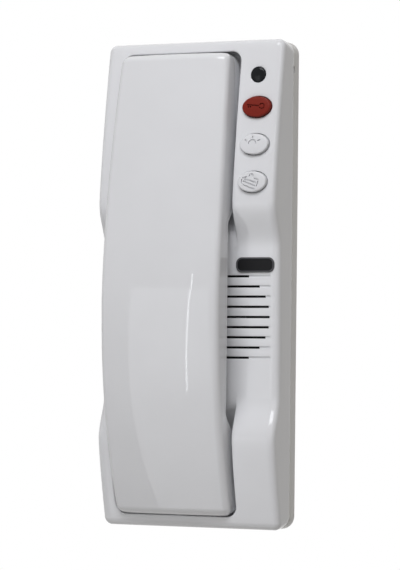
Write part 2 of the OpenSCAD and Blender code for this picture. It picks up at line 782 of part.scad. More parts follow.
function terminal_place(i) = terminal_x + (i - (terminal_count - 1) / 2) * terminal_w / terminal_count;
module terminal_block() {
  color("seagreen") on_wall() difference() {
    block(terminal_x - terminal_w / 2, terminal_x + terminal_w / 2, terminal_z - terminal_h / 2,
      terminal_z + terminal_h / 2, line_low_d - terminal_t, line_low_d);
    for (i = [0:terminal_count - 1]) translate([terminal_place(i), terminal_z, 0]) {
      rod(0, terminal_screw_rise, 0, line_low_d - terminal_floor_t, terminal_hole_r);
      block(-wire_hole_w / 2, wire_hole_w / 2, -terminal_h, -terminal_screw_rise,
        line_low_d - wire_low, line_low_d - wire_high);
    }
  }
}

module terminal_screws() {
  top = line_low_d - terminal_t + terminal_screw_drop;
  color("silver") on_wall() for (i = [0:terminal_count - 1])
    translate([terminal_place(i), terminal_z + terminal_screw_rise, 0]) difference() {
      rod(0, 0, top, line_low_d - terminal_floor_t, terminal_hole_r - slip);
      block(-terminal_hole_r, terminal_hole_r, -terminal_slot_w / 2, terminal_slot_w / 2,
        top - past, top + terminal_slot_d / 2);
    }
}

module hook_microswitch() {
  plunger_z = hook_pin_z - hook_tail + plunger_rise;
  half = hook_switch_w / 2;
  color("dimgray") on_wall() {
    block(hook_x - half, hook_x + half, line_top_z - hook_switch_h, line_top_z, switch_low_d, line_low_d);
    rod(hook_x, plunger_z, switch_low_d - plunger_out, switch_low_d + skin, plunger_r);
  }
}

module hook_pin() {
  half = hook_w / 2 + hook_side_gap + lug_t;
  color("silver") on_wall()
    rod_across(hook_x - half, hook_x + half, hook_pin_z, hook_pin_d, hook_pin_dia / 2);
}

module hook_lever() {
  x0 = hook_x - hook_w / 2;
  x1 = hook_x + hook_w / 2;
  nose_z = hook_pin_z + hook_reach;
  nose_d = pad_d - fit_gap - hook_nose_r;
  spring_half = (spring_turns + spring_end_turn) * spring_pitch / 2 + spring_wire_r + fit_gap;
  window = coil_r + spring_wire_r + fit_gap;
  color("lightgray") on_wall() difference() {
    union() {
      rod_across(x0, x1, hook_pin_z, hook_pin_d, hook_hub_r);
      block(x0, x1, hook_pin_z - hook_tail, nose_z + hook_nose_r,
        hook_bar_low_d, hook_bar_low_d + hook_bar_t);
      block(x0, x1, nose_z - hook_nose_r, nose_z + hook_nose_r, hook_bar_low_d, nose_d);
      rod_across(x0, x1, nose_z, nose_d, hook_nose_r);
    }
    rod_across(x0 - past, x1 + past, hook_pin_z, hook_pin_d, hook_pin_dia / 2 + slip);
    block(hook_x - spring_half, hook_x + spring_half, hook_pin_z - window, hook_pin_z + window, 0, far);
  }
}

// Ring of a wire around the middle one of three points on its path
function wire_ring(before, here, after, r, sides) =
  let (t = (after - before) / norm(after - before), u = [1, 0, 0] - t[0] * t,
    v = u / norm(u), w = cross(t, v))
  [for (k = [0:sides - 1]) here + r * (cos(360 * k / sides) * v + sin(360 * k / sides) * w)];

// Torsion spring: a coil on the pin, one leg against the well's slope and one under the lever's arm
module hook_spring() {
  steps = 12;
  sides = 6;
  turns = spring_turns + spring_end_turn;
  count = turns * steps;
  length = turns * spring_pitch;
  coil = [for (i = [0:count]) let (a = 180 + 360 * i / steps)
    [hook_x - length / 2 + spring_pitch * i / steps, coil_r * cos(a), coil_r * sin(a)]];
  under_d = hook_bar_low_d - hook_pin_d - spring_wire_r - slip;
  slope_d = well_slope_under(hook_pin_z - coil_r + spring_wire_r) - hook_pin_d - fit_gap;
  path = concat([[coil[0][0], -coil_r, slope_d]], coil,
    [[coil[count][0], coil_r - spring_wire_r, under_d],
      [coil[count][0], hook_reach * spring_arm, under_d]]);
  last = len(path) - 1;
  points = [for (i = [0:last])
    each wire_ring(path[max(0, i - 1)], path[i], path[min(last, i + 1)], spring_wire_r, sides)];
  faces = [for (i = [0:last - 1]) for (k = [0:sides - 1])
    let (a = i * sides + k, b = i * sides + (k + 1) % sides)
    each [[a, a + sides, b], [b, a + sides, b + sides]]];
  first_cap = [for (k = [0:sides - 1]) k];
  last_cap = [for (k = [sides - 1:-1:0]) last * sides + k];
  color("silver") on_wall() translate([0, hook_pin_z, hook_pin_d])
    polyhedron(points, concat(faces, [first_cap], [last_cap]));
}

module speaker_frame() {
  low = magnet_low_d + magnet_t;
  front = speaker_seat_d;
  rim = speaker_r - speaker_flange_w;
  color("dimgray") on_wall() difference() {
    union() {
      translate([speaker_x, speaker_z, 0]) rotate_extrude($fn = 64) polygon([[0, low],
        [magnet_r + basket_t, low], [rim, front - speaker_flange_t], [speaker_r, front - speaker_flange_t],
        [speaker_r, front], [rim, front], [magnet_r, low + basket_t], [0, low + basket_t]]);
      for (p = speaker_ears) difference() {
        rod(p[0], p[1], front - speaker_flange_t, front, speaker_ear_r);
        rod(speaker_x, speaker_z, 0, far, speaker_r - skin);
      }
    }
    for (p = speaker_ears) rod(p[0], p[1], 0, far, screw_r + fit_gap / 2);
  }
}

module speaker_magnet() {
  color("darkgray") on_wall() rod(speaker_x, speaker_z, magnet_low_d, magnet_low_d + magnet_t, magnet_r);
}

module speaker_cone() {
  front = speaker_seat_d;
  low = magnet_low_d + magnet_t + cone_lift;
  rim = grille_r - cone_rim_w;
  edge = speaker_r - cone_edge_w;
  color("#303030") on_wall() translate([speaker_x, speaker_z, 0]) rotate_extrude($fn = 64) polygon(concat(
    [[edge, front], [rim, front], [rim, front + cone_rim_t], [edge - cone_t, front + cone_rim_t]],
    [for (a = [0:22.5:90]) [cone_cap_r * cos(a), low + cone_t + cone_cap_h * sin(a)]],
    [[0, low + cone_t], [cone_cap_r - cone_t, low]]));
}

module speaker_screws() {
  color("silver") on_wall() for (p = speaker_ears)
    screw_from_back(p[0], p[1], speaker_seat_d - speaker_flange_t,
      speaker_flange_t + speaker_screw_l);
}

module cover_screws() {
  seat = well_floor_d - head_t - fit_gap;
  color("silver") on_wall() for (z = cover_screw_zs) screw_from_front(handset_x, z, seat, seat - plate_t);
}

module base_grommet() {
  color("#303030") on_wall() grommet(-half_w - base_grommet_proud, base_grommet_z, base_grommet_d,
    wall + base_grommet_proud + grommet_flange_t, grommet_rim, grommet_rim);
}

module handset_solid(inset) {
  heights = handset_rings(inset);
  translate([handset_x, 0, 0]) loft(heights, [for (z = heights) handset_ring(z, inset)]);
}

// Depth of the handset's parting line at a height
function part_line(z) =
  let (end_d = pad_d + (z >= 0 ? part_ear_lift : part_mouth_lift),
    t = (z >= 0 ? z - ear_ramp_z + pad_ramp : mouth_ramp_z + pad_ramp - z) / pad_ramp)
  max(mix(part_grip_d, end_d, min(1, max(0, t))), handset_back(z) + part_lift);
part_zs = concat([-half_h], mid_rings(mouth_ramp_z, mouth_ramp_z + pad_ramp, part_run),
  mid_rings(ear_ramp_z - pad_ramp, ear_ramp_z, part_run), [half_h]);

// Region of the handset in front of its parting line, or behind it
module parting(side, gap) across(handset_x - far, handset_x + far)
  polygon(concat([for (z = part_zs) [z, part_line(z) + gap]], [[half_h, side], [-half_h, side]]));

module handset_front_shell() {
  color("white") on_wall() difference() {
    union() {
      intersection() {
        difference() {
          handset_solid(0);
          handset_solid(handset_wall);
        }
        parting(far, part_gap);
      }
      for (z = handset_screw_zs)
        rod(handset_x, z, handset_boss_d + part_gap, handset_front(z) + handset_crown - skin, front_boss_r);
    }
    for (z = handset_screw_zs) rod(handset_x, z, 0, handset_boss_d + handset_pilot, pilot_r);
    translate([0, handset_grommet_z, 0]) block(handset_x - far, handset_x, -grommet_half - slip,
      grommet_half + slip, part_grip_d - past, handset_grommet_d + grommet_half + slip);
  }
}

module handset_rear_shell() {
  floor_d = pad_d + handset_wall;
  color("white") on_wall() difference() {
    union() {
      intersection() {
        difference() {
          handset_solid(0);
          handset_solid(handset_wall);
        }
        parting(0, 0);
      }
      for (z = handset_screw_zs) rod(handset_x, z, pad_d + skin, handset_boss_d, handset_boss_r);
      difference() {
        rod(handset_x, receiver_z, pad_d + skin, floor_d + seat_ring_h, receiver_r + slip + seat_ring_t);
        rod(handset_x, receiver_z, floor_d, far, receiver_r + slip);
      }
    }
    for (z = handset_screw_zs) {
      rod(handset_x, z, 0, handset_boss_d - boss_floor_t, head_r + fit_gap);
      rod(handset_x, z, 0, far, screw_r + fit_gap);
    }
    translate([handset_x, receiver_z, 0]) {
      for (a = [0:60:300])
        rod(sound_ring_r * cos(a), sound_ring_r * sin(a), 0, floor_d + past, sound_hole_r);
      rod(0, 0, 0, floor_d + past, sound_hole_r);
    }
    for (i = [-1:1]) rod(handset_x + i * mic_hole_gap, mic_z, 0, floor_d + past, mic_hole_r);
  }
}

module receiver_gasket() {
  floor_d = pad_d + handset_wall;
  color("#303030") on_wall() difference() {
    rod(handset_x, receiver_z, floor_d, floor_d + gasket_t, receiver_r);
    rod(handset_x, receiver_z, 0, far, receiver_r - gasket_w);
  }
}

module receiver() {
  floor_d = pad_d + handset_wall + gasket_t;
  color("dimgray") on_wall() {
    rod(handset_x, receiver_z, floor_d, floor_d + receiver_rim_t, receiver_r);
    rod(handset_x, receiver_z, floor_d + receiver_rim_t - skin, floor_d + receiver_t, receiver_cup_r);
  }
}

module microphone_boot() {
  floor_d = pad_d + handset_wall;
  color("#303030") on_wall() difference() {
    rod(handset_x, mic_z, floor_d, floor_d + mic_t + boot_floor_t, mic_r + boot_wall);
    rod(handset_x, mic_z, floor_d + boot_floor_t, far, mic_r + slip);
    rod(handset_x, mic_z, 0, far, mic_r - boot_lip);
  }
}

module microphone() {
  floor_d = pad_d + handset_wall + boot_floor_t;
  color("silver") on_wall() rod(handset_x, mic_z, floor_d, floor_d + mic_t, mic_r);
}

module handset_screws() {
  color("silver") on_wall() for (z = handset_screw_zs)
    screw_from_back(handset_x, z, handset_boss_d - boss_floor_t, handset_screw_l);
}

module handset_grommet() {
  side_x = handset_x - handset_half(handset_grommet_z);
  color("#303030") on_wall() grommet(side_x - handset_grommet_proud, handset_grommet_z, handset_grommet_d,
    handset_wall + handset_grommet_reach + handset_grommet_proud + grommet_flange_t, grommet_rim, 0);
}

back_plate();
front_cover();
name_plate();
indicator_lens();
indicator_led();
button_board();
push_switches();
button_board_screws();
line_board();
line_board_screws();
terminal_block();
terminal_screws();
hook_microswitch();
hook_pin();
hook_lever();
hook_spring();
speaker_frame();
speaker_magnet();
speaker_cone();
speaker_screws();
cover_screws();
base_grommet();
door_button();
light_button();
call_button();
handset_front_shell();
handset_rear_shell();
receiver_gasket();
receiver();
microphone_boot();
microphone();
handset_screws();
handset_grommet();
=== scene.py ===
"""Looks of the audio intercom handset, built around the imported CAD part."""

import json
import math

import bmesh
import bpy
from mathutils import Matrix, Quaternion, Vector
from mathutils.geometry import delaunay_2d_cdt


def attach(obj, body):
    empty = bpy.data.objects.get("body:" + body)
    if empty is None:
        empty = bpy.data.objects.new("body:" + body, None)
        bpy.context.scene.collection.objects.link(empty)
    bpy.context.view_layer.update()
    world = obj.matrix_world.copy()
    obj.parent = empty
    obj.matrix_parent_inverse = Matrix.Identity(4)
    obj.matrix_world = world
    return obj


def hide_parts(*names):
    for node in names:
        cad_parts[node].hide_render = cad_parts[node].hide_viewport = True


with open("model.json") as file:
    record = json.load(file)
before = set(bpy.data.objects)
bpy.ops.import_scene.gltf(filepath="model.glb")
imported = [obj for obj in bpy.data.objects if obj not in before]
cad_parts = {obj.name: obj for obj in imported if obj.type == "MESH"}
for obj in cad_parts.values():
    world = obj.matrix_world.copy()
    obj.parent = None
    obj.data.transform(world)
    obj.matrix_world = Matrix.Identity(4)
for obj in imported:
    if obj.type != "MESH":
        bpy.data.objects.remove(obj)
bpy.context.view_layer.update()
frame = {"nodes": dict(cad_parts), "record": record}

MM = 0.001

# Wall unit, in millimetres: x across, z up, d away from the wall
HALF_W, HALF_H, CORNER_R, FRONT_CORNER_R = 44.0, 110.0, 6.0, 3.5
EDGE_R, END_R, EDGE_SHARE = 2.8, 2.5, 0.4
RIM_D, COVER_BACK_D, WALL, SEAM_R = 6.0, 6.2, 2.2, 0.3
CREST_D, CREST_Z, TOP_D = 27.0, 36.0, 17.2
PANEL_D, PANEL_LOW_D, PANEL_TOP_Z, PANEL_END_Z = 20.8, 19.8, 16.0, -50.0
LOW_CREST_Z, LOW_CREST_D, BOTTOM_D = -70.0, 25.0, 16.8
PROFILE_POWER = 1.3

# Wells
WELL_GAP, WELL_RIGHT, WELL_TOP, WELL_LOW = 1.4, 23.5, 104.9, -104.6
WELL_R, WELL_FLOOR_D, WELL_MOUTH = 5.0, 10.5, 0.3
UPPER_END, UPPER_RAMP, LOWER_END, LOWER_RAMP = 22.0, 38.0, -54.0, -70.0
WELL_RIM_R, WELL_FLOOR_R = 0.7, 1.2
HOOK_SLOT = ((-29.6, 33.5), (-20.4, 33.5), (-20.4, 49.5), (-29.6, 49.5))

# Back plate
PLATE_FLOOR_D, PLATE_INNER, PLATE_LIP, LIP_RISE = 2.5, 3.4, 2.4, 1.7
SCREW_HOLE_ZS, SCREW_HOLE_R = (30.0, -30.0), 2.25
WINDOW = ((-35.0, -44.0), (-15.0, -44.0), (-15.0, -26.0), (-35.0, -26.0))
PRY_Z, PRY_HALF, PRY_D = 97.0, 1.5, 4.8

# Square cord holes of the wall unit and of the handset
CORD_Z, CORD_D, CORD_HALF = -30.0, 12.0, 2.45
NOTCH_Z, NOTCH_TOP, NOTCH_DEEP = -45.0, 33.5, 2.0

# Points along one side, one end and one corner of the wall unit's outline
SIDE_POINTS, END_POINTS, CORNER_POINTS = 180, 36, 14

# Handset
HX, H_TOP, H_LOW, H_MID = -7.1, 104.0, -104.2, -8.0
H_HALF, H_D, H_BACK, PAD_D = 29.2, 38.8, 26.4, 11.3
H_TOP_FALL, H_LOW_FALL, H_TOP_TAPER, H_LOW_TAPER = 14.1, 17.0, 2.4, 1.0
TOP_POWER, SIDE_POWER = 1.5, 2.2
EAR_RAMP_Z, MOUTH_RAMP_Z, PAD_RAMP = 25.0, -57.0, 18.0
H_CORNER, H_FRONT_CORNER, H_END_R, H_EDGE_R = 5.5, 3.5, 3.0, 3.0
H_BACK_R, CROWN, H_SEAM, H_PART_GAP = 1.5, 1.4, 0.12, 0.08
PART_GRIP, PART_EAR, PART_MOUTH, PART_LIFT = 28.6, 17.3, 16.3, 2.2
EAR_Z, EAR_RING, EAR_HOLE_R = 81.0, 6.0, 1.0
MIC_Z, MIC_PITCH, MIC_HOLE_R = -93.7, 1.8, 0.6
H_SCREW_ZS, BORE_R = (48.5, -79.2), 2.5
PAD_FIELDS = ((44.5, 95.0), (-99.0, -75.1))
PAD_FIELD_HALF = 16.7

# Controls and grille
COLUMN_X, BUTTON_ZS, BUTTON_W, BUTTON_H = 33.4, (79.0, 62.1, 45.2), 13.8, 9.4
BUTTON_PROUD, BUTTON_GAP, BUTTON_EDGE, DOME = 2.0, 0.3, 0.7, 0.25
BUTTON_SUNK, SIGN_W, SIGN_DEEP = 2.6, 0.55, 0.6
LENS_X, LENS_Z, LENS_R, LENS_RISE, LENS_DOME = 32.7, 93.7, 3.6, 0.2, 0.9
NAME_X, NAME_Z, NAME_W, NAME_H, NAME_R = 32.5, 8.4, 18.6, 6.8, 2.8
NAME_PROUD, NAME_RIM, NAME_SINK, NAME_EDGE, NAME_T = 0.6, 0.6, 0.18, 0.2, 1.2
GRILLE_X, GRILLE_Z, GRILLE_R, GROOVE_HALF = 18.0, -14.9, 21.4, 21.8
SLOT_COUNT, SLOT_PITCH, SLOT_W, GROOVE_D, SLOT_RIM = 9, 4.55, 1.0, 0.6, 0.18
COVER_SCREW_ZS = (92.0, -92.0)

# Rims of the holes, and how deep the holes are drawn
BORE_RIM, BORE_DEEP = 0.2, 1.8
OPENING_RIM, OPENING_DEEP, LENS_GAP = 0.25, 3.0, 0.05
PAD_HOLE_RIM, PAD_HOLE_DEEP = 0.15, 2.0
PLATE_ROUND = 0.5

# Fineness: steps round small edges, points round holes, spacing of the points on faces
RIM_STEPS, EDGE_STEPS = 3, 4
BORE_POINTS, PAD_HOLE_POINTS, LENS_POINTS, BUTTON_HOLE_POINTS, BUTTON_POINTS = 32, 24, 56, 80, 72
COVER_STEP, WELL_STEP, PLATE_STEP, PAD_STEP, BUTTON_STEP = 1.9, 2.5, 8.0, 2.5, 0.7

# Distance that still counts as on a face
NEAR = 0.1


def mix(a, b, t):
    return a + (b - a) * t


def clamp(t):
    return min(1.0, max(0.0, t))


def smooth(t):
    t = clamp(t)
    return t * t * (3 - 2 * t)


def turn(degrees):
    """Cosine and sine of an angle in degrees."""
    a = math.radians(degrees)
    return math.cos(a), math.sin(a)


def drop(r, dist):
    """Drop of a rounded corner of radius r at a distance from its end."""
    return 0.0 if dist >= r else r - math.sqrt(max(0.0, r * r - (r - dist) ** 2))


def spaced(a, b, step):
    n = max(1, math.ceil(abs(b - a) / step))
    return [a + (b - a) * i / n for i in range(n + 1)]


def flat(points):
    return [(p[0], p[1]) for p in points]


def level(line, d):
    """Points of an (x, z) line at one depth."""
    return [(x, z, d) for x, z in line]


def lifted(line, depth, rise=0.0):
    """Points of an (x, z) line on the face depth(x, z), or above it."""
    return [(x, z, depth(x, z) + rise) for x, z in line]


def front_d(z):
    """Depth of the wall unit's front at a height."""
    if z >= CREST_Z:
        return mix(CREST_D, TOP_D, ((z - CREST_Z) / (HALF_H - CREST_Z)) ** PROFILE_POWER)
    if z >= PANEL_TOP_Z:
        return mix(PANEL_D, CREST_D, smooth((z - PANEL_TOP_Z) / (CREST_Z - PANEL_TOP_Z)))
    if z >= PANEL_END_Z:
        return mix(PANEL_D, PANEL_LOW_D, (PANEL_TOP_Z - z) / (PANEL_TOP_Z - PANEL_END_Z))
    if z >= LOW_CREST_Z:
        t = (PANEL_END_Z - z) / (PANEL_END_Z - LOW_CREST_Z)
        return mix(PANEL_LOW_D, LOW_CREST_D, smooth(t))
    return mix(LOW_CREST_D, BOTTOM_D, ((LOW_CREST_Z - z) / (LOW_CREST_Z + HALF_H)) ** PROFILE_POWER)


def front_slope(z):
    return (front_d(z + 1) - front_d(z - 1)) / 2


def face_d(x, z):
    """Depth of the front with the first part of its edge rounding."""
    over_x = min(EDGE_R, max(0.0, abs(x) - (HALF_W - EDGE_R)))
    over_z = min(END_R, max(0.0, abs(z) - (HALF_H - END_R)))
    return (front_d(z) - EDGE_R + math.sqrt(EDGE_R ** 2 - over_x ** 2)
            - END_R + math.sqrt(END_R ** 2 - over_z ** 2))


def soft_ramp(t, blend=0.12):
    """Straight ramp from 0 to 1 with rounded ends."""
    def corner(u):
        if u <= -blend:
            return 0.0
        return u if u >= blend else (u + blend) ** 2 / (4 * blend)
    return corner(t) - corner(t - 1)


def upper_floor(z):
    return mix(PANEL_D, WELL_FLOOR_D, soft_ramp((z - UPPER_END) / (UPPER_RAMP - UPPER_END)))


def lower_floor(z):
    return mix(PANEL_LOW_D, WELL_FLOOR_D, soft_ramp((LOWER_END - z) / (LOWER_END - LOWER_RAMP)))


class Shape:
    """Vertices in wall coordinates (x, z, d), and faces."""

    def __init__(self):
        self.v, self.f = [], []

    def points(self, pts):
        start = len(self.v)
        self.v.extend(pts)
        return list(range(start, len(self.v)))

    def bridge(self, a, b):
        for i in range(len(a)):
            j = (i + 1) % len(a)
            self.f.append((a[i], a[j], b[j], b[i]))

    def rings(self, rings):
        ids = [self.points(r) for r in rings]
        for a, b in zip(ids, ids[1:]):
            self.bridge(a, b)
        return ids

    def cap(self, ids):
        self.f.append(tuple(ids))

    def fan(self, ids, middle):
        m = self.points([middle])[0]
        for i in range(len(ids)):
            self.f.append((ids[i], ids[(i + 1) % len(ids)], m))

    def punch(self, test):
        """Take out the faces whose middle passes the test; gives the opening's border in order."""
        kept, edges = [], set()
        for f in self.f:
            middle = [sum(self.v[i][k] for i in f) / len(f) for k in range(3)]
            if test(*middle):
                edges.update(zip(f, f[1:] + f[:1]))
            else:
                kept.append(f)
        self.f = kept
        follow = {a: b for a, b in edges if (b, a) not in edges}
        border = [min(follow)]
        while follow[border[-1]] != border[0]:
            border.append(follow[border[-1]])
        return border

    def wall(self, border, dx):
        """Walls from an opening's border, dx inwards."""
        inner = [(self.v[i][0] + dx, self.v[i][1], self.v[i][2]) for i in border]
        self.bridge(border, self.points(inner))

    def make(self, name, material, angle=38.0, weld=0.004):
        mesh = bpy.data.meshes.new(name)
        mesh.from_pydata([(x * MM, -d * MM, z * MM) for x, z, d in self.v], [], self.f)
        bm = bmesh.new()
        bm.from_mesh(mesh)
        bmesh.ops.remove_doubles(bm, verts=bm.verts, dist=weld * MM)
        bmesh.ops.dissolve_degenerate(bm, edges=bm.edges, dist=1e-7)
        bmesh.ops.recalc_face_normals(bm, faces=bm.faces)
        bm.to_mesh(mesh)
        bm.free()
        mesh.polygons.foreach_set("use_smooth", [True] * len(mesh.polygons))
        mesh.set_sharp_from_angle(angle=math.radians(angle))
        mesh.materials.append(material)
        obj = bpy.data.objects.new(name, mesh)
        bpy.context.scene.collection.objects.link(obj)
        return obj


def inside(p, loop):
    """Is a point inside a closed loop of (x, z) points?"""
    x, z = p
    hit = False
    for (x0, z0), (x1, z1) in zip(loop, loop[-1:] + loop[:-1]):
        if (z0 > z) != (z1 > z) and x < (x1 - x0) * (z - z0) / (z1 - z0) + x0:
            hit = not hit
    return hit


def near_loop(p, loop, dist):
    x, z = p
    limit = dist * dist
    for (x0, z0), (x1, z1) in zip(loop, loop[-1:] + loop[:-1]):
        dx, dz = x1 - x0, z1 - z0
        t = ((x - x0) * dx + (z - z0) * dz) / max(1e-9, dx * dx + dz * dz)
        t = clamp(t)
        if (x - x0 - t * dx) ** 2 + (z - z0 - t * dz) ** 2 < limit:
            return True
    return False


def fill(shape, outer, holes, step, depth):
    """Triangles between an outer loop and holes, lifted to depth(x, z)."""
    loops = [outer] + holes
    boxes = []
    for loop in loops:
        xs, zs = zip(*loop)
        boxes.append((min(xs), max(xs), min(zs), max(zs)))
    coords, edges = [], []
    for loop in loops:
        start = len(coords)
        coords.extend(loop)
        edges.extend((start + i, start + (i + 1) % len(loop)) for i in range(len(loop)))
    x0, x1, z0, z1 = boxes[0]
    clear = step * 0.45
    rows, columns = int((z1 - z0) / step), int((x1 - x0) / step)

    def in_hole(p, gap):
        for h, (a, b, c, d) in zip(holes, boxes[1:]):
            if a - gap < p[0] < b + gap and c - gap < p[1] < d + gap:
                if inside(p, h) or (gap and near_loop(p, h, gap)):
                    return True
        return False

    for j in range(1, rows + 1):
        z = z0 + (z1 - z0) * j / (rows + 1)
        for i in range(columns + 1):
            p = (x0 + (x1 - x0) * (i + 0.5 * (j % 2)) / (columns + 1), z)
            if inside(p, outer) and not near_loop(p, outer, clear) and not in_hole(p, clear):
                coords.append(p)
    vs, _, fs, *_ = delaunay_2d_cdt([Vector(c) for c in coords], edges, [], 0, 1e-6)
    ids = shape.points([(v.x, v.y, depth(v.x, v.y)) for v in vs])
    for f in fs:
        c = sum((vs[i] for i in f), Vector((0, 0))) / len(f)
        if inside((c.x, c.y), outer) and not in_hole((c.x, c.y), 0):
            shape.f.append(tuple(ids[i] for i in f))


def ellipse(cx, cz, rx, rz, n=64):
    ways = [turn(360 * i / n) for i in range(n)]
    return [(cx + rx * c, cz + rz * s) for c, s in ways]


def side_heights():
    """Heights of the points up one side, with the edges of the small openings among them."""
    reach = HALF_H - CORNER_R
    zs = [reach * (2 * i / SIDE_POINTS - 1) for i in range(SIDE_POINTS)]
    for middle, half in ((CORD_Z, CORD_HALF), (PRY_Z, PRY_HALF)):
        for edge in (middle - half, middle + half, -middle - half, -middle + half):
            zs[min(range(SIDE_POINTS), key=lambda i: abs(zs[i] - edge))] = edge
    return zs


SIDE_ZS = side_heights()


def frame_outline(corner, inset_x=0.0, inset_z=None):
    """Outline of the wall unit, with as many (x, z) points for every corner radius and inset."""
    inset_z = inset_x if inset_z is None else inset_z
    cx, cz = HALF_W - corner, HALF_H - corner
    rx, rz = corner - inset_x, corner - inset_z
    reach = HALF_W - CORNER_R
    out = []
    for quarter, (sx, sz) in enumerate(((1, 1), (-1, 1), (-1, -1), (1, -1))):
        if quarter % 2 == 0:
            out += [(sx * (cx + rx), sz * z) for z in SIDE_ZS]
        else:
            xs = [reach * (2 * i / END_POINTS - 1) for i in range(END_POINTS)]
            out += [(sx * x, sz * (cz + rz)) for x in xs]
        for k in range(CORNER_POINTS):
            c, s = turn(quarter * 90 + 90 * k / CORNER_POINTS)
            out.append((sx * cx + rx * c, sz * cz + rz * s))
    return out


def along_sides(points, n=8):
    """Points along the sides of a polygon."""
    out = []
    for (ax, az), (bx, bz) in zip(points, points[1:] + points[:1]):
        out += [(mix(ax, bx, i / n), mix(az, bz, i / n)) for i in range(n)]
    return out


def handset_front(z):
    if z >= H_MID:
        return H_D - H_TOP_FALL * ((z - H_MID) / (H_TOP - H_MID)) ** TOP_POWER
    return H_D - H_LOW_FALL * ((H_MID - z) / (H_MID - H_LOW)) ** SIDE_POWER


def handset_half(z):
    if z >= H_MID:
        return H_HALF - H_TOP_TAPER * ((z - H_MID) / (H_TOP - H_MID)) ** SIDE_POWER
    return H_HALF - H_LOW_TAPER * ((H_MID - z) / (H_MID - H_LOW)) ** SIDE_POWER


def pad_share(z):
    return (z - EAR_RAMP_Z) / PAD_RAMP if z >= 0 else (MOUTH_RAMP_Z - z) / PAD_RAMP


def handset_back(z):
    return mix(H_BACK, PAD_D, smooth(pad_share(z)))


def part_line(z):
    end = PART_EAR if z >= 0 else PART_MOUTH
    return max(mix(PART_GRIP, end, clamp(pad_share(z))), handset_back(z) + PART_LIFT)


def well_wall(z):
    """The left wall of a well follows the handset's side."""
    return HX - handset_half(z) - WELL_GAP


def well_loop(upper):
    """Wall line of a well: (x, z, outward x, outward z) round it, anticlockwise."""
    across, along, arc = 2.0, 1.2, 6
    r, right = WELL_R, WELL_RIGHT
    out = []

    def corner(cx, cz, start):
        for a in range(start + arc, start + 90, arc):
            c, s = turn(a)
            out.append((cx + r * c, cz + r * s, c, s))

    if upper:
        low, turn_z = PANEL_TOP_Z + WELL_MOUTH, WELL_TOP - r
        left = well_wall(turn_z)
        out += [(x, low, 0, -1) for x in spaced(well_wall(low), right, across)[1:-1]]
        out += [(right, z, 1, 0) for z in spaced(low, turn_z, along)]
        corner(right - r, turn_z, 0)
        out += [(x, WELL_TOP, 0, 1) for x in spaced(right - r, left + r, across)]
        corner(left + r, turn_z, 90)
        out += [(well_wall(z), z, -1, 0) for z in spaced(turn_z, low, along)]
    else:
        top, turn_z = PANEL_END_Z - WELL_MOUTH, WELL_LOW + r
        left = well_wall(turn_z)
        out += [(x, top, 0, 1) for x in spaced(right, well_wall(top), across)[1:-1]]
        out += [(well_wall(z), z, -1, 0) for z in spaced(top, turn_z, along)]
        corner(left + r, turn_z, 180)
        out += [(x, WELL_LOW, 0, -1) for x in spaced(left + r, right - r, across)]
        corner(right - r, turn_z, 270)
        out += [(right, z, 1, 0) for z in spaced(turn_z, top, along)]
    return out


def well_rings(upper):
    """Rings from a well's rim on the front down to its floor."""
    arc_steps, wall_steps, least = 6, 5, 0.45
    floor = upper_floor if upper else lower_floor
    open_z = PANEL_TOP_Z + WELL_MOUTH if upper else PANEL_END_Z - WELL_MOUTH
    columns = []
    for x, z, nx, nz in well_loop(upper):
        high = max(0.0, front_d(z) - floor(z))
        at_mouth = nz != 0 and abs(z - open_z) < 1e-6
        rim = 0.0 if at_mouth else min(WELL_RIM_R, least * high)
        low = 0.0 if at_mouth else min(WELL_FLOOR_R, least * high)
        column = []
        for i in range(arc_steps + 1):
            c, s = turn(90 * i / arc_steps)
            px, pz = x + nx * rim * (1 - s), z + nz * rim * (1 - s)
            column.append((px, pz, front_d(pz) - rim * (1 - c)))
        for i in range(1, wall_steps):
            column.append((x, z, mix(front_d(z) - rim, floor(z) + low, i / wall_steps)))
        for i in range(arc_steps + 1):
            c, s = turn(90 * i / arc_steps)
            px, pz = x - nx * low * (1 - c), z - nz * low * (1 - c)
            column.append((px, pz, floor(pz) + low * (1 - s)))
        columns.append(column)
    return [list(ring) for ring in zip(*columns)]


def hole_rings(loop, middle, rim, deep, depth, way=-1):
    """Rings from a hole's rounded rim down into a wall; way is -1 into a front, 1 into a back."""
    rings = []
    for i in range(RIM_STEPS + 1):
        c, s = turn(90 * i / RIM_STEPS)
        ring = []
        for x, z in loop:
            n = Vector((x - middle[0], z - middle[1])).normalized() * rim * (1 - s)
            ring.append((x + n.x, z + n.y, depth(x + n.x, z + n.y) + way * rim * (1 - c)))
        rings.append(ring)
    rings.append(lifted(loop, depth, way * deep))
    return rings


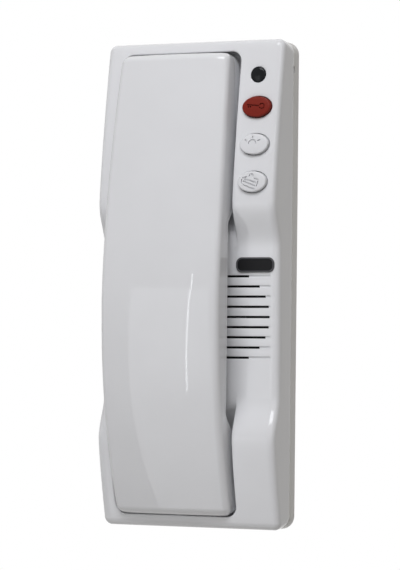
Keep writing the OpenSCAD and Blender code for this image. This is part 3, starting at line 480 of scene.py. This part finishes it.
def add_slot(shape, offset):
    """One grille slot: a groove with a rounded rim, open through the cover over the speaker."""
    z, r, run = GRILLE_Z + offset, SLOT_W / 2, GROOVE_HALF - SLOT_W / 2
    half = min(math.sqrt(GRILLE_R ** 2 - offset ** 2), run)
    step, cap_points = 1.5, 11
    stretches = ((-half, half), (-run, -half), (half, run))
    xs = sorted({x for a, b in stretches for x in spaced(a, b, step)})

    def loop(grow):
        ring = [(GRILLE_X + x, z + r + grow) for x in reversed(xs)]
        for start, side in ((90, -1), (-90, 1)):
            for k in range(1, cap_points + 1):
                c, s = turn(start + 180 * k / (cap_points + 1))
                ring.append((GRILLE_X + side * run + (r + grow) * c, z + (r + grow) * s))
            if side < 0:
                ring += [(GRILLE_X + x, z - r - grow) for x in xs]
        return ring

    rings = []
    for k in range(RIM_STEPS + 1):
        c, s = turn(90 * k / RIM_STEPS)
        rings.append(lifted(loop(SLOT_RIM * (1 - s)), face_d, -SLOT_RIM * (1 - c)))
    rings.append(lifted(loop(0), face_d, -GROOVE_D))
    last = shape.rings(rings)[-1]
    n = len(xs)
    top, left = last[:n][::-1], last[n:n + cap_points]
    bottom, right = last[n + cap_points:2 * n + cap_points], last[2 * n + cap_points:]
    shape.cap([top[0]] + left + [bottom[0]])
    shape.cap([bottom[-1]] + right + [top[-1]])
    for j in range(n - 1):
        if abs(xs[j] + xs[j + 1]) / 2 > half:
            shape.f.append((top[j], top[j + 1], bottom[j + 1], bottom[j]))
    through = [j for j in range(n) if abs(xs[j]) <= half + 1e-6]
    rim = [top[j] for j in through] + [bottom[j] for j in reversed(through)]
    deep = WALL - GROOVE_D
    shape.bridge(rim, shape.points([(x, y, d - deep) for x, y, d in (shape.v[q] for q in rim)]))
    return flat(rings[0])


def add_side(shape, border):
    """The cover's rounded front edge, its side walls and its back edge."""
    round_steps, share_steps = 12, 40
    inner_line = frame_outline(FRONT_CORNER_R, EDGE_R, END_R)
    outer_line = frame_outline(FRONT_CORNER_R)
    back_line = frame_outline(CORNER_R)
    rings = [lifted(border, face_d)]
    start = math.degrees(math.asin(EDGE_SHARE))
    for k in range(1, round_steps + 1):
        c, s = turn(mix(start, 90, k / round_steps))
        ring = []
        for (xi, zi), (xo, zo) in zip(inner_line, outer_line):
            x, z = mix(xi, xo, s), mix(zi, zo, s)
            ring.append((x, z, front_d(z) - math.hypot(xo - xi, zo - zi) * (1 - c)))
        rings.append(ring)
    edge, low = rings[-1], COVER_BACK_D + SEAM_R
    hole_low = CORD_D - CORD_HALF
    depths = (CORD_D + CORD_HALF, CORD_D, hole_low, mix(hole_low, low, 0.5), low)
    for k, depth in enumerate(depths):
        ring = []
        for (x, z, d), (bx, bz) in zip(edge, back_line):
            t = max((d - depth) / (d - low), (k + 1) / share_steps)
            ring.append((mix(x, bx, t), mix(z, bz, t), mix(d, low, t)))
        rings.append(ring)
    for k in range(1, RIM_STEPS + 1):
        c, s = turn(90 * k / RIM_STEPS)
        inset = SEAM_R * (1 - c)
        rings.append(level(frame_outline(CORNER_R, inset), COVER_BACK_D + SEAM_R * (1 - s)))
    rings.append(level(frame_outline(CORNER_R, WALL), COVER_BACK_D))
    shape.rings(rings)

    def at_cord(x, z, d):
        across = max(abs(z - CORD_Z), abs(d - CORD_D))
        return x < -HALF_W + NEAR and across < CORD_HALF

    shape.wall(shape.punch(at_cord), WALL)


def build_cover(material):
    shape = Shape()
    keep = 1 - EDGE_SHARE
    border = frame_outline(FRONT_CORNER_R, EDGE_R * keep, END_R * keep)
    add_side(shape, border)
    holes = []
    for upper in (True, False):
        rings = well_rings(upper)
        holes.append(flat(rings[0]))
        shape.rings(rings)

        def floor(x, z):
            return upper_floor(z) if upper else lower_floor(z)

        screw = (HX, COVER_SCREW_ZS[0 if upper else 1])
        bore_line = ellipse(*screw, BORE_R, BORE_R, BORE_POINTS)
        bore = hole_rings(bore_line, screw, BORE_RIM, BORE_DEEP, floor)
        shape.rings(bore)
        inner = [flat(bore[0])]
        if upper:
            loop = along_sides(HOOK_SLOT)
            shape.rings([lifted(loop, floor), lifted(loop, floor, -WALL)])
            inner.append(loop)
        fill(shape, flat(rings[-1]), inner, WELL_STEP, floor)

    half_w, half_h = BUTTON_W / 2 + BUTTON_GAP, BUTTON_H / 2 + BUTTON_GAP
    openings = [(COLUMN_X, z, half_w, half_h, BUTTON_HOLE_POINTS) for z in BUTTON_ZS]
    openings.append((LENS_X, LENS_Z, LENS_R + LENS_GAP, LENS_R + LENS_GAP, LENS_POINTS))
    for opening in openings:
        rings = hole_rings(ellipse(*opening), opening[:2], OPENING_RIM, OPENING_DEEP, face_d)
        shape.rings(rings)
        holes.append(flat(rings[0]))
    for i in range(SLOT_COUNT):
        holes.append(add_slot(shape, (i - (SLOT_COUNT - 1) / 2) * SLOT_PITCH))
    fill(shape, border, holes, COVER_STEP, face_d)
    return shape.make("cover", material)


def build_plate(material):
    """Back plate with a rounded rim; its window and screw holes go right through."""
    shape = Shape()
    holes = [ellipse(0, z, SCREW_HOLE_R, SCREW_HOLE_R, BORE_POINTS) for z in SCREW_HOLE_ZS]
    holes.append(along_sides(WINDOW))
    for loop in holes:
        shape.rings([level(loop, 0), level(loop, PLATE_FLOOR_D)])
    outer, inner = frame_outline(CORNER_R, PLATE_ROUND), frame_outline(CORNER_R, PLATE_INNER)
    fill(shape, outer, holes, PLATE_STEP, lambda x, z: 0.0)
    fill(shape, inner, holes, PLATE_STEP, lambda x, z: PLATE_FLOOR_D)
    rings = []
    for k in range(EDGE_STEPS + 1):
        c, s = turn(90 * k / EDGE_STEPS)
        rings.append(level(frame_outline(CORNER_R, PLATE_ROUND * (1 - s)), PLATE_ROUND * (1 - c)))
    rings.append(level(frame_outline(CORNER_R), PRY_D))
    for k in range(RIM_STEPS + 1):
        c, s = turn(90 * k / RIM_STEPS)
        rings.append(level(frame_outline(CORNER_R, SEAM_R * (1 - c)), RIM_D - SEAM_R * (1 - s)))
    lip = frame_outline(CORNER_R, PLATE_LIP)
    rings += [level(lip, RIM_D), level(lip, RIM_D + LIP_RISE)]
    rings += [level(inner, RIM_D + LIP_RISE), level(inner, PLATE_FLOOR_D)]
    shape.rings(rings)
    lip_x = HALF_W - PLATE_LIP

    def at_notch(x, z, d):
        return x > lip_x and abs(z - PRY_Z) < PRY_HALF and PRY_D < d <= RIM_D

    notch = shape.punch(at_notch)
    below = [(min(x, lip_x), z, PRY_D) for x, z, d in (shape.v[i] for i in notch)]
    shape.bridge(notch, shape.points(below))
    return shape.make("plate", material)


def handset_heights():
    """Heights of the handset's rings, close together round its ends and with the notch's edges."""
    end_angle, step = 5, 1.4
    ends = [H_CORNER * (1 - turn(a)[0]) for a in range(0, 90, end_angle)]
    zs = spaced(H_LOW + H_CORNER, H_TOP - H_CORNER, step)
    for edge in (NOTCH_Z - CORD_HALF, NOTCH_Z + CORD_HALF):
        zs[min(range(len(zs)), key=lambda i: abs(zs[i] - edge))] = edge
    return [H_LOW + e for e in ends] + zs + [H_TOP - e for e in reversed(ends)]


def handset_section(z):
    """Half width and depth of the front, then half width and depth of the back."""
    dist = min(H_TOP - z, z - H_LOW)
    front_w = handset_half(z) - drop(H_FRONT_CORNER, dist)
    back_w = handset_half(z) - drop(H_CORNER, dist)
    front, back = handset_front(z) - drop(H_END_R, dist), handset_back(z) + drop(H_BACK_R, dist)
    return front_w, front, back_w, back


def side_points(section, depths):
    """Points up the handset's side at some depths."""
    front_w, d, back_w, b = section
    low, high = b + H_BACK_R, d - H_EDGE_R
    span = max(NEAR, high - low)
    return [(mix(back_w, front_w, clamp((q - low) / span)), q) for q in depths]


def handset_ring(half, middle, z):
    return [(HX + x, z, d) for x, d in half + [middle] + [(-x, d) for x, d in reversed(half)]]


def build_front_shell(material):
    shape = Shape()
    rings = []
    face_steps, arc_steps, side_steps, arc_gap = 8, 10, 3, 0.05
    for z in handset_heights():
        section = handset_section(z)
        w, d = section[:2]
        p, r = part_line(z) + H_PART_GAP, H_EDGE_R
        tilt = math.degrees(math.atan(2 * CROWN / (w - r)))
        c, s = turn(tilt)
        span, low, arc_d = w - r + r * s, p + H_SEAM, d - r * c
        high = min(NOTCH_TOP, arc_d - arc_gap)
        depths = [mix(low, high, k / side_steps) for k in range(side_steps + 1)]
        side = side_points(section, depths)
        half = [(side[0][0] - H_SEAM, p), (side[0][0] - H_SEAM / 4, p + H_SEAM / 4)] + side
        for k in range(arc_steps + 1):
            c, s = turn((90 - tilt) * k / arc_steps)
            half.append((w - r + r * c, arc_d + r * s))
        for k in range(face_steps - 1, 0, -1):
            t = k / face_steps
            half.append((t * span, d + CROWN * (1 - t ** 2)))
        rings.append(handset_ring(half, (0.0, d + CROWN), z))
    ids = shape.rings(rings)
    shape.cap(ids[0])
    shape.cap(ids[-1])

    def at_notch(x, z, d):
        return x < HX - H_HALF / 2 and abs(z - NOTCH_Z) < CORD_HALF and d < NOTCH_TOP

    shape.wall(shape.punch(at_notch), NOTCH_DEEP)
    return shape.make("handset_front", material)


def build_rear_shell(material):
    shape = Shape()
    rings = []
    face_steps, side_steps, arc, r = 6, 4, 15, H_BACK_R
    for z in handset_heights():
        section = handset_section(z)
        w, b = section[2:]
        p = part_line(z)
        depths = [mix(p - H_SEAM, b + r, k / side_steps) for k in range(side_steps)]
        side = side_points(section, depths)
        half = [(side[0][0] - H_SEAM, p), (side[0][0] - H_SEAM / 4, p - H_SEAM / 4)] + side
        for a in range(0, 90 + arc, arc):
            c, s = turn(a)
            half.append((w - r + r * c, b + r - r * s))
        half += [(k / face_steps * (w - r), b) for k in range(face_steps - 1, 0, -1)]
        rings.append(handset_ring(half, (0.0, b), z))
    ids = shape.rings(rings)
    shape.cap(ids[0])
    shape.cap(ids[-1])

    sound = [(HX, EAR_Z)] + ellipse(HX, EAR_Z, EAR_RING, EAR_RING, 6)
    voice = [(HX + k * MIC_PITCH, MIC_Z) for k in (-1, 0, 1)]
    pads = zip(PAD_FIELDS, H_SCREW_ZS, (sound, voice), (EAR_HOLE_R, MIC_HOLE_R))

    def pad(x, z):
        return PAD_D

    for (low, high), screw_z, small, small_r in pads:
        def on_pad(x, z, d):
            return low < z < high and abs(x - HX) < PAD_FIELD_HALF and d < PAD_D + NEAR

        border = shape.punch(on_pad)
        holes = []
        for middle, hole_r in [((HX, screw_z), BORE_R)] + [(m, small_r) for m in small]:
            line = ellipse(*middle, hole_r, hole_r, PAD_HOLE_POINTS)
            bore = hole_rings(line, middle, PAD_HOLE_RIM, PAD_HOLE_DEEP, pad, 1)
            shape.rings(bore)
            holes.append(flat(bore[0]))
        fill(shape, [shape.v[i][:2] for i in border], holes, PAD_STEP, pad)
    return shape.make("handset_rear", material)


def pen(points):
    """Outline of a round-ended stroke of the sign's width along (x, z) points."""
    half = SIGN_W / 2
    left, right, ways = [], [], []
    for i, p in enumerate(points):
        a, b = points[max(0, i - 1)], points[min(len(points) - 1, i + 1)]
        t = Vector((b[0] - a[0], b[1] - a[1])).normalized()
        ways.append(t)
        left.append((p[0] - t.y * half, p[1] + t.x * half))
        right.append((p[0] + t.y * half, p[1] - t.x * half))

    def cap(p, t):
        out = []
        for a in (-45, 0, 45):
            c, s = turn(a)
            out.append((p[0] + half * (t.x * c - t.y * s), p[1] + half * (t.y * c + t.x * s)))
        return out

    return right + cap(points[-1], ways[-1]) + left[::-1] + cap(points[0], -ways[0])


def arc_line(cx, cz, r, start, end, n=14):
    ways = [turn(mix(start, end, i / n)) for i in range(n + 1)]
    return [(cx + r * c, cz + r * s) for c, s in ways]


# Plain engraved signs, in millimetres from each button's middle: a key, a rising sun and a box
KEY_SIGN = [[(-4.1, 0.95), (-1.4, 0.67), (1.3, 0.39)], [(-3.5, 0.2), (-3.55, -0.35)],
            [(-2.5, 0.1), (-2.55, -0.25)], arc_line(2.95, 0.2, 1.15, 150, -150)]
SUN_X, SUN_Z, SUN_R = -0.5, 0.1, 1.85
SUN_RAYS = ((27, 3.0, 4.0), (90, 2.75, 3.3), (153, 3.0, 4.0))
SUN_SIGN = [arc_line(SUN_X, SUN_Z, SUN_R, 5, 175)] + [
    [(SUN_X + q * turn(a)[0], SUN_Z + q * turn(a)[1]) for q in ray] for a, *ray in SUN_RAYS]
BOX_SIGN = [[(-4.3, 1.7), (-2.3, 2.2)], [(1.6, 1.5), (3.3, 0.85)],
            [(3.35, 0.1), (3.25, -0.6), (2.7, -2.2)], [(-4.65, 0.95), (-4.75, -0.2), (-4.4, -0.9)],
            [(-3.2, 1.15), (-0.54, 0.5), (2.3, -0.4)], [(-3.7, 0.3), (-0.86, -0.87), (2.0, -1.85)],
            [(-3.5, -1.35), (-0.86, -2.6), (1.5, -3.2)], arc_line(-0.1, 2.5, 0.95, -10, 190)]


def build_button(name, z0, material, sign):
    shape = Shape()
    a, b, r, round_steps, side_steps = BUTTON_W / 2, BUTTON_H / 2, BUTTON_EDGE, 7, 4
    slope, base = front_slope(z0), front_d(z0) + BUTTON_PROUD - DOME

    def top(x, z):
        """Depth of the button's slanted and slightly domed top."""
        u, v = (x - COLUMN_X) / a, (z - z0) / b
        return base + (z - z0) * slope + DOME * (1 - min(1.0, u * u + v * v))

    rings = []
    for k in range(round_steps + 1):
        c, s = turn(90 * k / round_steps)
        inset = r * (1 - s)
        line = ellipse(COLUMN_X, z0, a - inset, b - inset, BUTTON_POINTS)
        rings.append(lifted(line, top, -r * (1 - c)))
    low = front_d(z0) - BUTTON_SUNK
    edge = rings[-1]
    for k in range(1, side_steps + 1):
        rings.append([(x, z, mix(d, low, k / side_steps)) for x, z, d in edge])
    shape.cap(shape.rings(rings)[-1])
    strokes = [pen([(COLUMN_X + x, z0 + z) for x, z in line]) for line in sign]
    for loop in strokes:
        shape.cap(shape.rings([lifted(loop, top), lifted(loop, top, -SIGN_DEEP)])[-1])
    fill(shape, flat(rings[0]), strokes, BUTTON_STEP, top)
    return shape.make(name, material)


def build_lens(material):
    shape = Shape()
    dome_steps, deep = 12, 3
    top = front_d(LENS_Z) + LENS_RISE
    rings = []
    for k in range(1, dome_steps + 1):
        c, s = turn(90 * k / dome_steps)
        line = ellipse(LENS_X, LENS_Z, LENS_R * s, LENS_R * s, LENS_POINTS)
        rings.append(level(line, top + LENS_DOME * c))
    rings.append(level(ellipse(LENS_X, LENS_Z, LENS_R, LENS_R, LENS_POINTS), top - deep))
    ids = shape.rings(rings)
    shape.fan(ids[0], (LENS_X, LENS_Z, top + LENS_DOME))
    shape.cap(ids[-1])
    return shape.make("lens", material)


def build_name_plate(field, rim):
    """Blank plate with a raised rim; the rim has a finish of its own."""
    shape = Shape()
    corner_steps = 9

    def outline(inset):
        out = []
        r, cx, cz = NAME_R - inset, NAME_W / 2 - NAME_R, NAME_H / 2 - NAME_R
        for quarter, (sx, sz) in enumerate(((1, 1), (-1, 1), (-1, -1), (1, -1))):
            for k in range(corner_steps + 1):
                c, s = turn(quarter * 90 + 90 * k / corner_steps)
                out.append((NAME_X + sx * cx + r * c, NAME_Z + sz * cz + r * s))
        return out

    top = front_d(NAME_Z) + NAME_PROUD
    rings = [level(outline(0), top - NAME_T)]
    for k in range(EDGE_STEPS, -1, -1):
        c, s = turn(90 * k / EDGE_STEPS)
        rings.append(level(outline(NAME_EDGE * (1 - s)), top - NAME_EDGE * (1 - c)))
    rings.append(level(outline(NAME_RIM), top))
    rings.append(level(outline(NAME_RIM + NAME_SINK), top - NAME_SINK))
    ids = shape.rings(rings)
    shape.cap(ids[0])
    shape.cap(ids[-1])
    obj = shape.make("name_plate_skin", field)
    obj.data.materials.append(rim)
    for face in obj.data.polygons:
        face.material_index = 1 if len(face.vertices) == 4 else 0
    return obj


# Both noises: the range that counts, and their details; the slow one's scale per metre
NOISE_LOW, NOISE_HIGH, SLOW_SCALE, SLOW_DETAIL, FINE_DETAIL = 0.3, 0.7, 38.0, 2.0, 3.0


def finish(name, color, roughness, tint=0.03, spread=0.05, grain=1400.0, relief=0.008,
           stretch=(1, 1, 1), metallic=0.0, specular=0.5):
    """Moulded or metal finish: slow tint, uneven gloss and fine relief from two noises."""
    mat = bpy.data.materials.new(name)
    mat.use_nodes = True
    nodes, links = mat.node_tree.nodes, mat.node_tree.links
    bsdf = nodes["Principled BSDF"]
    bsdf.inputs["Metallic"].default_value = metallic
    bsdf.inputs["Specular IOR Level"].default_value = specular
    coords = nodes.new("ShaderNodeTexCoord")
    place = nodes.new("ShaderNodeMapping")
    place.inputs["Scale"].default_value = stretch
    links.new(coords.outputs["Object"], place.inputs["Vector"])

    def noise(scale, detail):
        node = nodes.new("ShaderNodeTexNoise")
        node.inputs["Scale"].default_value = scale
        node.inputs["Detail"].default_value = detail
        links.new(place.outputs["Vector"], node.inputs["Vector"])
        return node.outputs["Fac"]

    slow, fine = noise(SLOW_SCALE, SLOW_DETAIL), noise(grain, FINE_DETAIL)
    shade = nodes.new("ShaderNodeValToRGB")
    for k, (stop, way) in enumerate(((NOISE_LOW, -1), (NOISE_HIGH, 1))):
        shade.color_ramp.elements[k].position = stop
        shade.color_ramp.elements[k].color = (*(c * (1 + way * tint) for c in color), 1)
    links.new(slow, shade.inputs["Fac"])
    links.new(shade.outputs["Color"], bsdf.inputs["Base Color"])
    gloss = nodes.new("ShaderNodeMapRange")
    for socket, value in (("From Min", NOISE_LOW), ("From Max", NOISE_HIGH),
                          ("To Min", roughness - spread), ("To Max", roughness + spread)):
        gloss.inputs[socket].default_value = value
    links.new(fine, gloss.inputs["Value"])
    links.new(gloss.outputs["Result"], bsdf.inputs["Roughness"])
    bump = nodes.new("ShaderNodeBump")
    bump.inputs["Strength"].default_value = 1.0
    bump.inputs["Distance"].default_value = relief * MM
    links.new(fine, bump.inputs["Height"])
    links.new(bump.outputs["Normal"], bsdf.inputs["Normal"])
    return mat


white = finish("white_abs", (0.76, 0.765, 0.785), 0.03, tint=0.012, spread=0.008, relief=0.0006)
back_white = finish("back_abs", (0.70, 0.695, 0.68), 0.4, tint=0.015, relief=0.012)
black = finish("plate_print", (0.008, 0.008, 0.009), 0.45, tint=0.2, relief=0.004, specular=0.12)
plate_rim = finish("plate_rim", (0.075, 0.075, 0.08), 0.4, tint=0.06, relief=0.004, specular=0.2)
lens_mat = finish("smoked_lens_gloss", (0.006, 0.007, 0.009), 0.08, tint=0.2, spread=0.02,
                  relief=0.0, specular=0.15)
red = finish("red_abs", (0.2, 0.019, 0.011), 0.42, tint=0.05, relief=0.006, specular=0.12)
button_white = finish("button_abs", (0.75, 0.755, 0.775), 0.4, tint=0.015, relief=0.006,
                      specular=0.3)
finishes = {
    "led_red": finish("led_epoxy", (0.5, 0.05, 0.03), 0.2, relief=0.002),
    "circuit_board": finish("solder_mask", (0.02, 0.12, 0.05), 0.4, tint=0.12, grain=700.0),
    "dark_plastic": finish("dark_mould", (0.02, 0.02, 0.022), 0.5, tint=0.08),
    "grey_plastic": finish("acetal", (0.5, 0.5, 0.51), 0.4),
    "terminal_green": finish("terminal_mould", (0.04, 0.26, 0.1), 0.45, tint=0.06),
    "steel": finish("zinc_steel", (0.6, 0.6, 0.61), 0.35, stretch=(1, 1, 6), metallic=1.0),
    "speaker_steel": finish("speaker_paint", (0.05, 0.05, 0.052), 0.5, tint=0.08),
    "magnet": finish("ferrite", (0.06, 0.06, 0.065), 0.6, tint=0.1, grain=2200.0, relief=0.02),
    "cone_black": finish("coated_paper", (0.008, 0.008, 0.009), 0.8, tint=0.2, grain=900.0,
                         relief=0.03),
    "capsule_metal": finish("drawn_can", (0.68, 0.68, 0.69), 0.3, stretch=(1, 6, 1), metallic=1.0),
    "rubber": finish("soft_rubber", (0.015, 0.015, 0.015), 0.7, tint=0.1, relief=0.015),
}

for part in frame["record"]["subparts"]:
    if part["material_slot"] in finishes:
        node = frame["nodes"][part["node"]]
        node.data.materials.clear()
        node.data.materials.append(finishes[part["material_slot"]])

pieces = [
    (build_cover(white), "base", "front_cover", "white_plastic"),
    (build_plate(back_white), "base", "back_plate", "back_plastic"),
    (build_lens(lens_mat), "base", "indicator_lens", "smoked_lens"),
    (build_name_plate(black, plate_rim), "base", "name_plate", "plate_black"),
    (build_front_shell(white), "handset", "handset_front_shell", "white_plastic"),
    (build_rear_shell(white), "handset", "handset_rear_shell", "white_plastic"),
    (build_button("door_cap", BUTTON_ZS[0], red, KEY_SIGN),
     "door_key", "door_button", "red_plastic"),
    (build_button("light_cap", BUTTON_ZS[1], button_white, SUN_SIGN),
     "light_key", "light_button", "button_white"),
    (build_button("call_cap", BUTTON_ZS[2], button_white, BOX_SIGN),
     "call_key", "call_button", "button_white"),
]
for obj, body, node, slot in pieces:
    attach(obj, body)
    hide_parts(node)

# Floor, in metres: below the photo's view, so that only the other views show it
STAGE_Z, STAGE_R, STAGE_POINTS, STAGE_WHITE = -1.0, 4.0, 128, 0.8
floor_mesh = bpy.data.meshes.new("floor")
floor_line = ellipse(0, 0, STAGE_R, STAGE_R, STAGE_POINTS)
floor_mesh.from_pydata([(x, y, STAGE_Z) for x, y in floor_line], [], [tuple(range(STAGE_POINTS))])
floor_mat = finish("pale_floor", (0.62, 0.62, 0.61), 0.6, tint=0.01, grain=60.0, relief=0.05)
floor_mesh.materials.append(floor_mat)
floor_obj = bpy.data.objects.new("floor", floor_mesh)
bpy.context.scene.collection.objects.link(floor_obj)


def seen_white(tree, shader, share, paper_kind, socket):
    """Send a shader to a socket, with a share of white for camera, mirror and clear rays."""
    path = tree.nodes.new("ShaderNodeLightPath")
    seen = path.outputs["Is Camera Ray"]
    for ray in ("Is Glossy Ray", "Is Transmission Ray"):
        either = tree.nodes.new("ShaderNodeMath")
        either.operation = "MAXIMUM"
        tree.links.new(seen, either.inputs[0])
        tree.links.new(path.outputs[ray], either.inputs[1])
        seen = either.outputs[0]
    part = tree.nodes.new("ShaderNodeMath")
    part.operation = "MULTIPLY"
    part.inputs[1].default_value = share
    tree.links.new(seen, part.inputs[0])
    paper = tree.nodes.new(paper_kind)
    paper.inputs["Color"].default_value = (1, 1, 1, 1)
    paper.inputs["Strength"].default_value = 1.0
    mixer = tree.nodes.new("ShaderNodeMixShader")
    tree.links.new(part.outputs[0], mixer.inputs["Fac"])
    tree.links.new(shader, mixer.inputs[1])
    tree.links.new(paper.outputs[0], mixer.inputs[2])
    tree.links.new(mixer.outputs[0], socket)


floor_nodes = floor_mat.node_tree.nodes
seen_white(floor_mat.node_tree, floor_nodes["Principled BSDF"].outputs[0], STAGE_WHITE,
           "ShaderNodeEmission", floor_nodes["Material Output"].inputs["Surface"])

# Camera fitted to the photo: degrees and metres, focal length and middle in pixels, sensor in mm
scene = bpy.context.scene
AZ, EL, ROLL, DIST = 25.292, -1.597, 0.646, 1.273445
IMAGE_W, IMAGE_H, FOCAL, MIDDLE_X, MIDDLE_Y, SENSOR = 400, 570, 2807.953, 194.774, 284.196, 36.0
TARGET, NEAR_CLIP, FAR_CLIP = Vector((0, -0.015, 0)), 0.01, 50
az, el, roll = math.radians(AZ), math.radians(EL), math.radians(ROLL)
to_camera = Vector((math.sin(az) * math.cos(el), -math.cos(az) * math.cos(el), math.sin(el)))
right = Vector((math.cos(az), math.sin(az), 0))
up = to_camera.cross(right)
cos_roll, sin_roll = math.cos(roll), math.sin(roll)
right, up = cos_roll * right + sin_roll * up, cos_roll * up - sin_roll * right
camera_data = bpy.data.cameras.new("camera")
camera = bpy.data.objects.new("camera", camera_data)
scene.collection.objects.link(camera)
place = Matrix((right, up, to_camera)).transposed().to_4x4()
place.translation = TARGET + to_camera * DIST
camera.matrix_world = place
camera_data.sensor_width = SENSOR
camera_data.lens = FOCAL / IMAGE_H * SENSOR
camera_data.shift_x = (IMAGE_W / 2 - MIDDLE_X) / IMAGE_H
camera_data.shift_y = (MIDDLE_Y - IMAGE_H / 2) / IMAGE_H
camera_data.clip_start, camera_data.clip_end = NEAR_CLIP, FAR_CLIP
scene.camera = camera

LAMP_COLOR = (0.975, 0.99, 1.03)


def softbox(name, where, size, power, tilt=0.0, mirrored=True):
    """Area lamp facing the object, tilted in its own plane; reflections show it if mirrored."""
    data = bpy.data.lights.new(name, "AREA")
    data.shape = "RECTANGLE"
    data.size, data.size_y = size
    data.energy = power
    data.color = LAMP_COLOR
    light = bpy.data.objects.new(name, data)
    light.location = where
    facing = (-Vector(where)).to_track_quat("-Z", "Y")
    light.rotation_euler = (facing @ Quaternion((0, 0, 1), math.radians(tilt))).to_euler()
    light.visible_glossy = mirrored
    scene.collection.objects.link(light)


# Places and sizes in metres, power in watts
softbox("top_box", (0.15, -0.92, 0.98), (0.9, 0.6), 11.3)
softbox("low_box", (-0.326, -0.848, -0.34), (0.42, 0.95), 1.2)
softbox("side_box", (0.78, -0.94, 0.47), (0.3, 0.4), 0.7)
softbox("strip_box", (-0.362, -1.14, -0.09), (0.005, 0.54), 0.07, tilt=-4.5)
softbox("rear_box", (-0.9, 1.15, 0.35), (0.8, 0.9), 12.0, mirrored=False)

# World: soft light graded from below to above, white where the camera and reflections see it
SKY = ((0.25, (0.03, 0.03, 0.03)), (0.5, (0.086, 0.08, 0.074)), (0.8, (0.33, 0.31, 0.28)))
world = bpy.data.worlds.new("studio")
world.use_nodes = True
scene.world = world
tree = world.node_tree
tree.nodes.clear()
out, soft, coords, split, grade, ramp = (tree.nodes.new("ShaderNode" + kind) for kind in (
    "OutputWorld", "Background", "TexCoord", "SeparateXYZ", "MapRange", "ValToRGB"))
grade.inputs["From Min"].default_value = -1.0
ramp.color_ramp.elements.new(0.5)
for stop, (where, color) in zip(ramp.color_ramp.elements, SKY):
    stop.position, stop.color = where, (*color, 1)
for a, b in ((coords.outputs["Generated"], split.inputs[0]),
             (split.outputs["Z"], grade.inputs["Value"]),
             (grade.outputs["Result"], ramp.inputs["Fac"]),
             (ramp.outputs["Color"], soft.inputs["Color"])):
    tree.links.new(a, b)
soft.inputs["Strength"].default_value = 1.0
seen_white(tree, soft.outputs[0], 1.0, "ShaderNodeBackground", out.inputs["Surface"])

scene.view_settings.view_transform = "Standard"
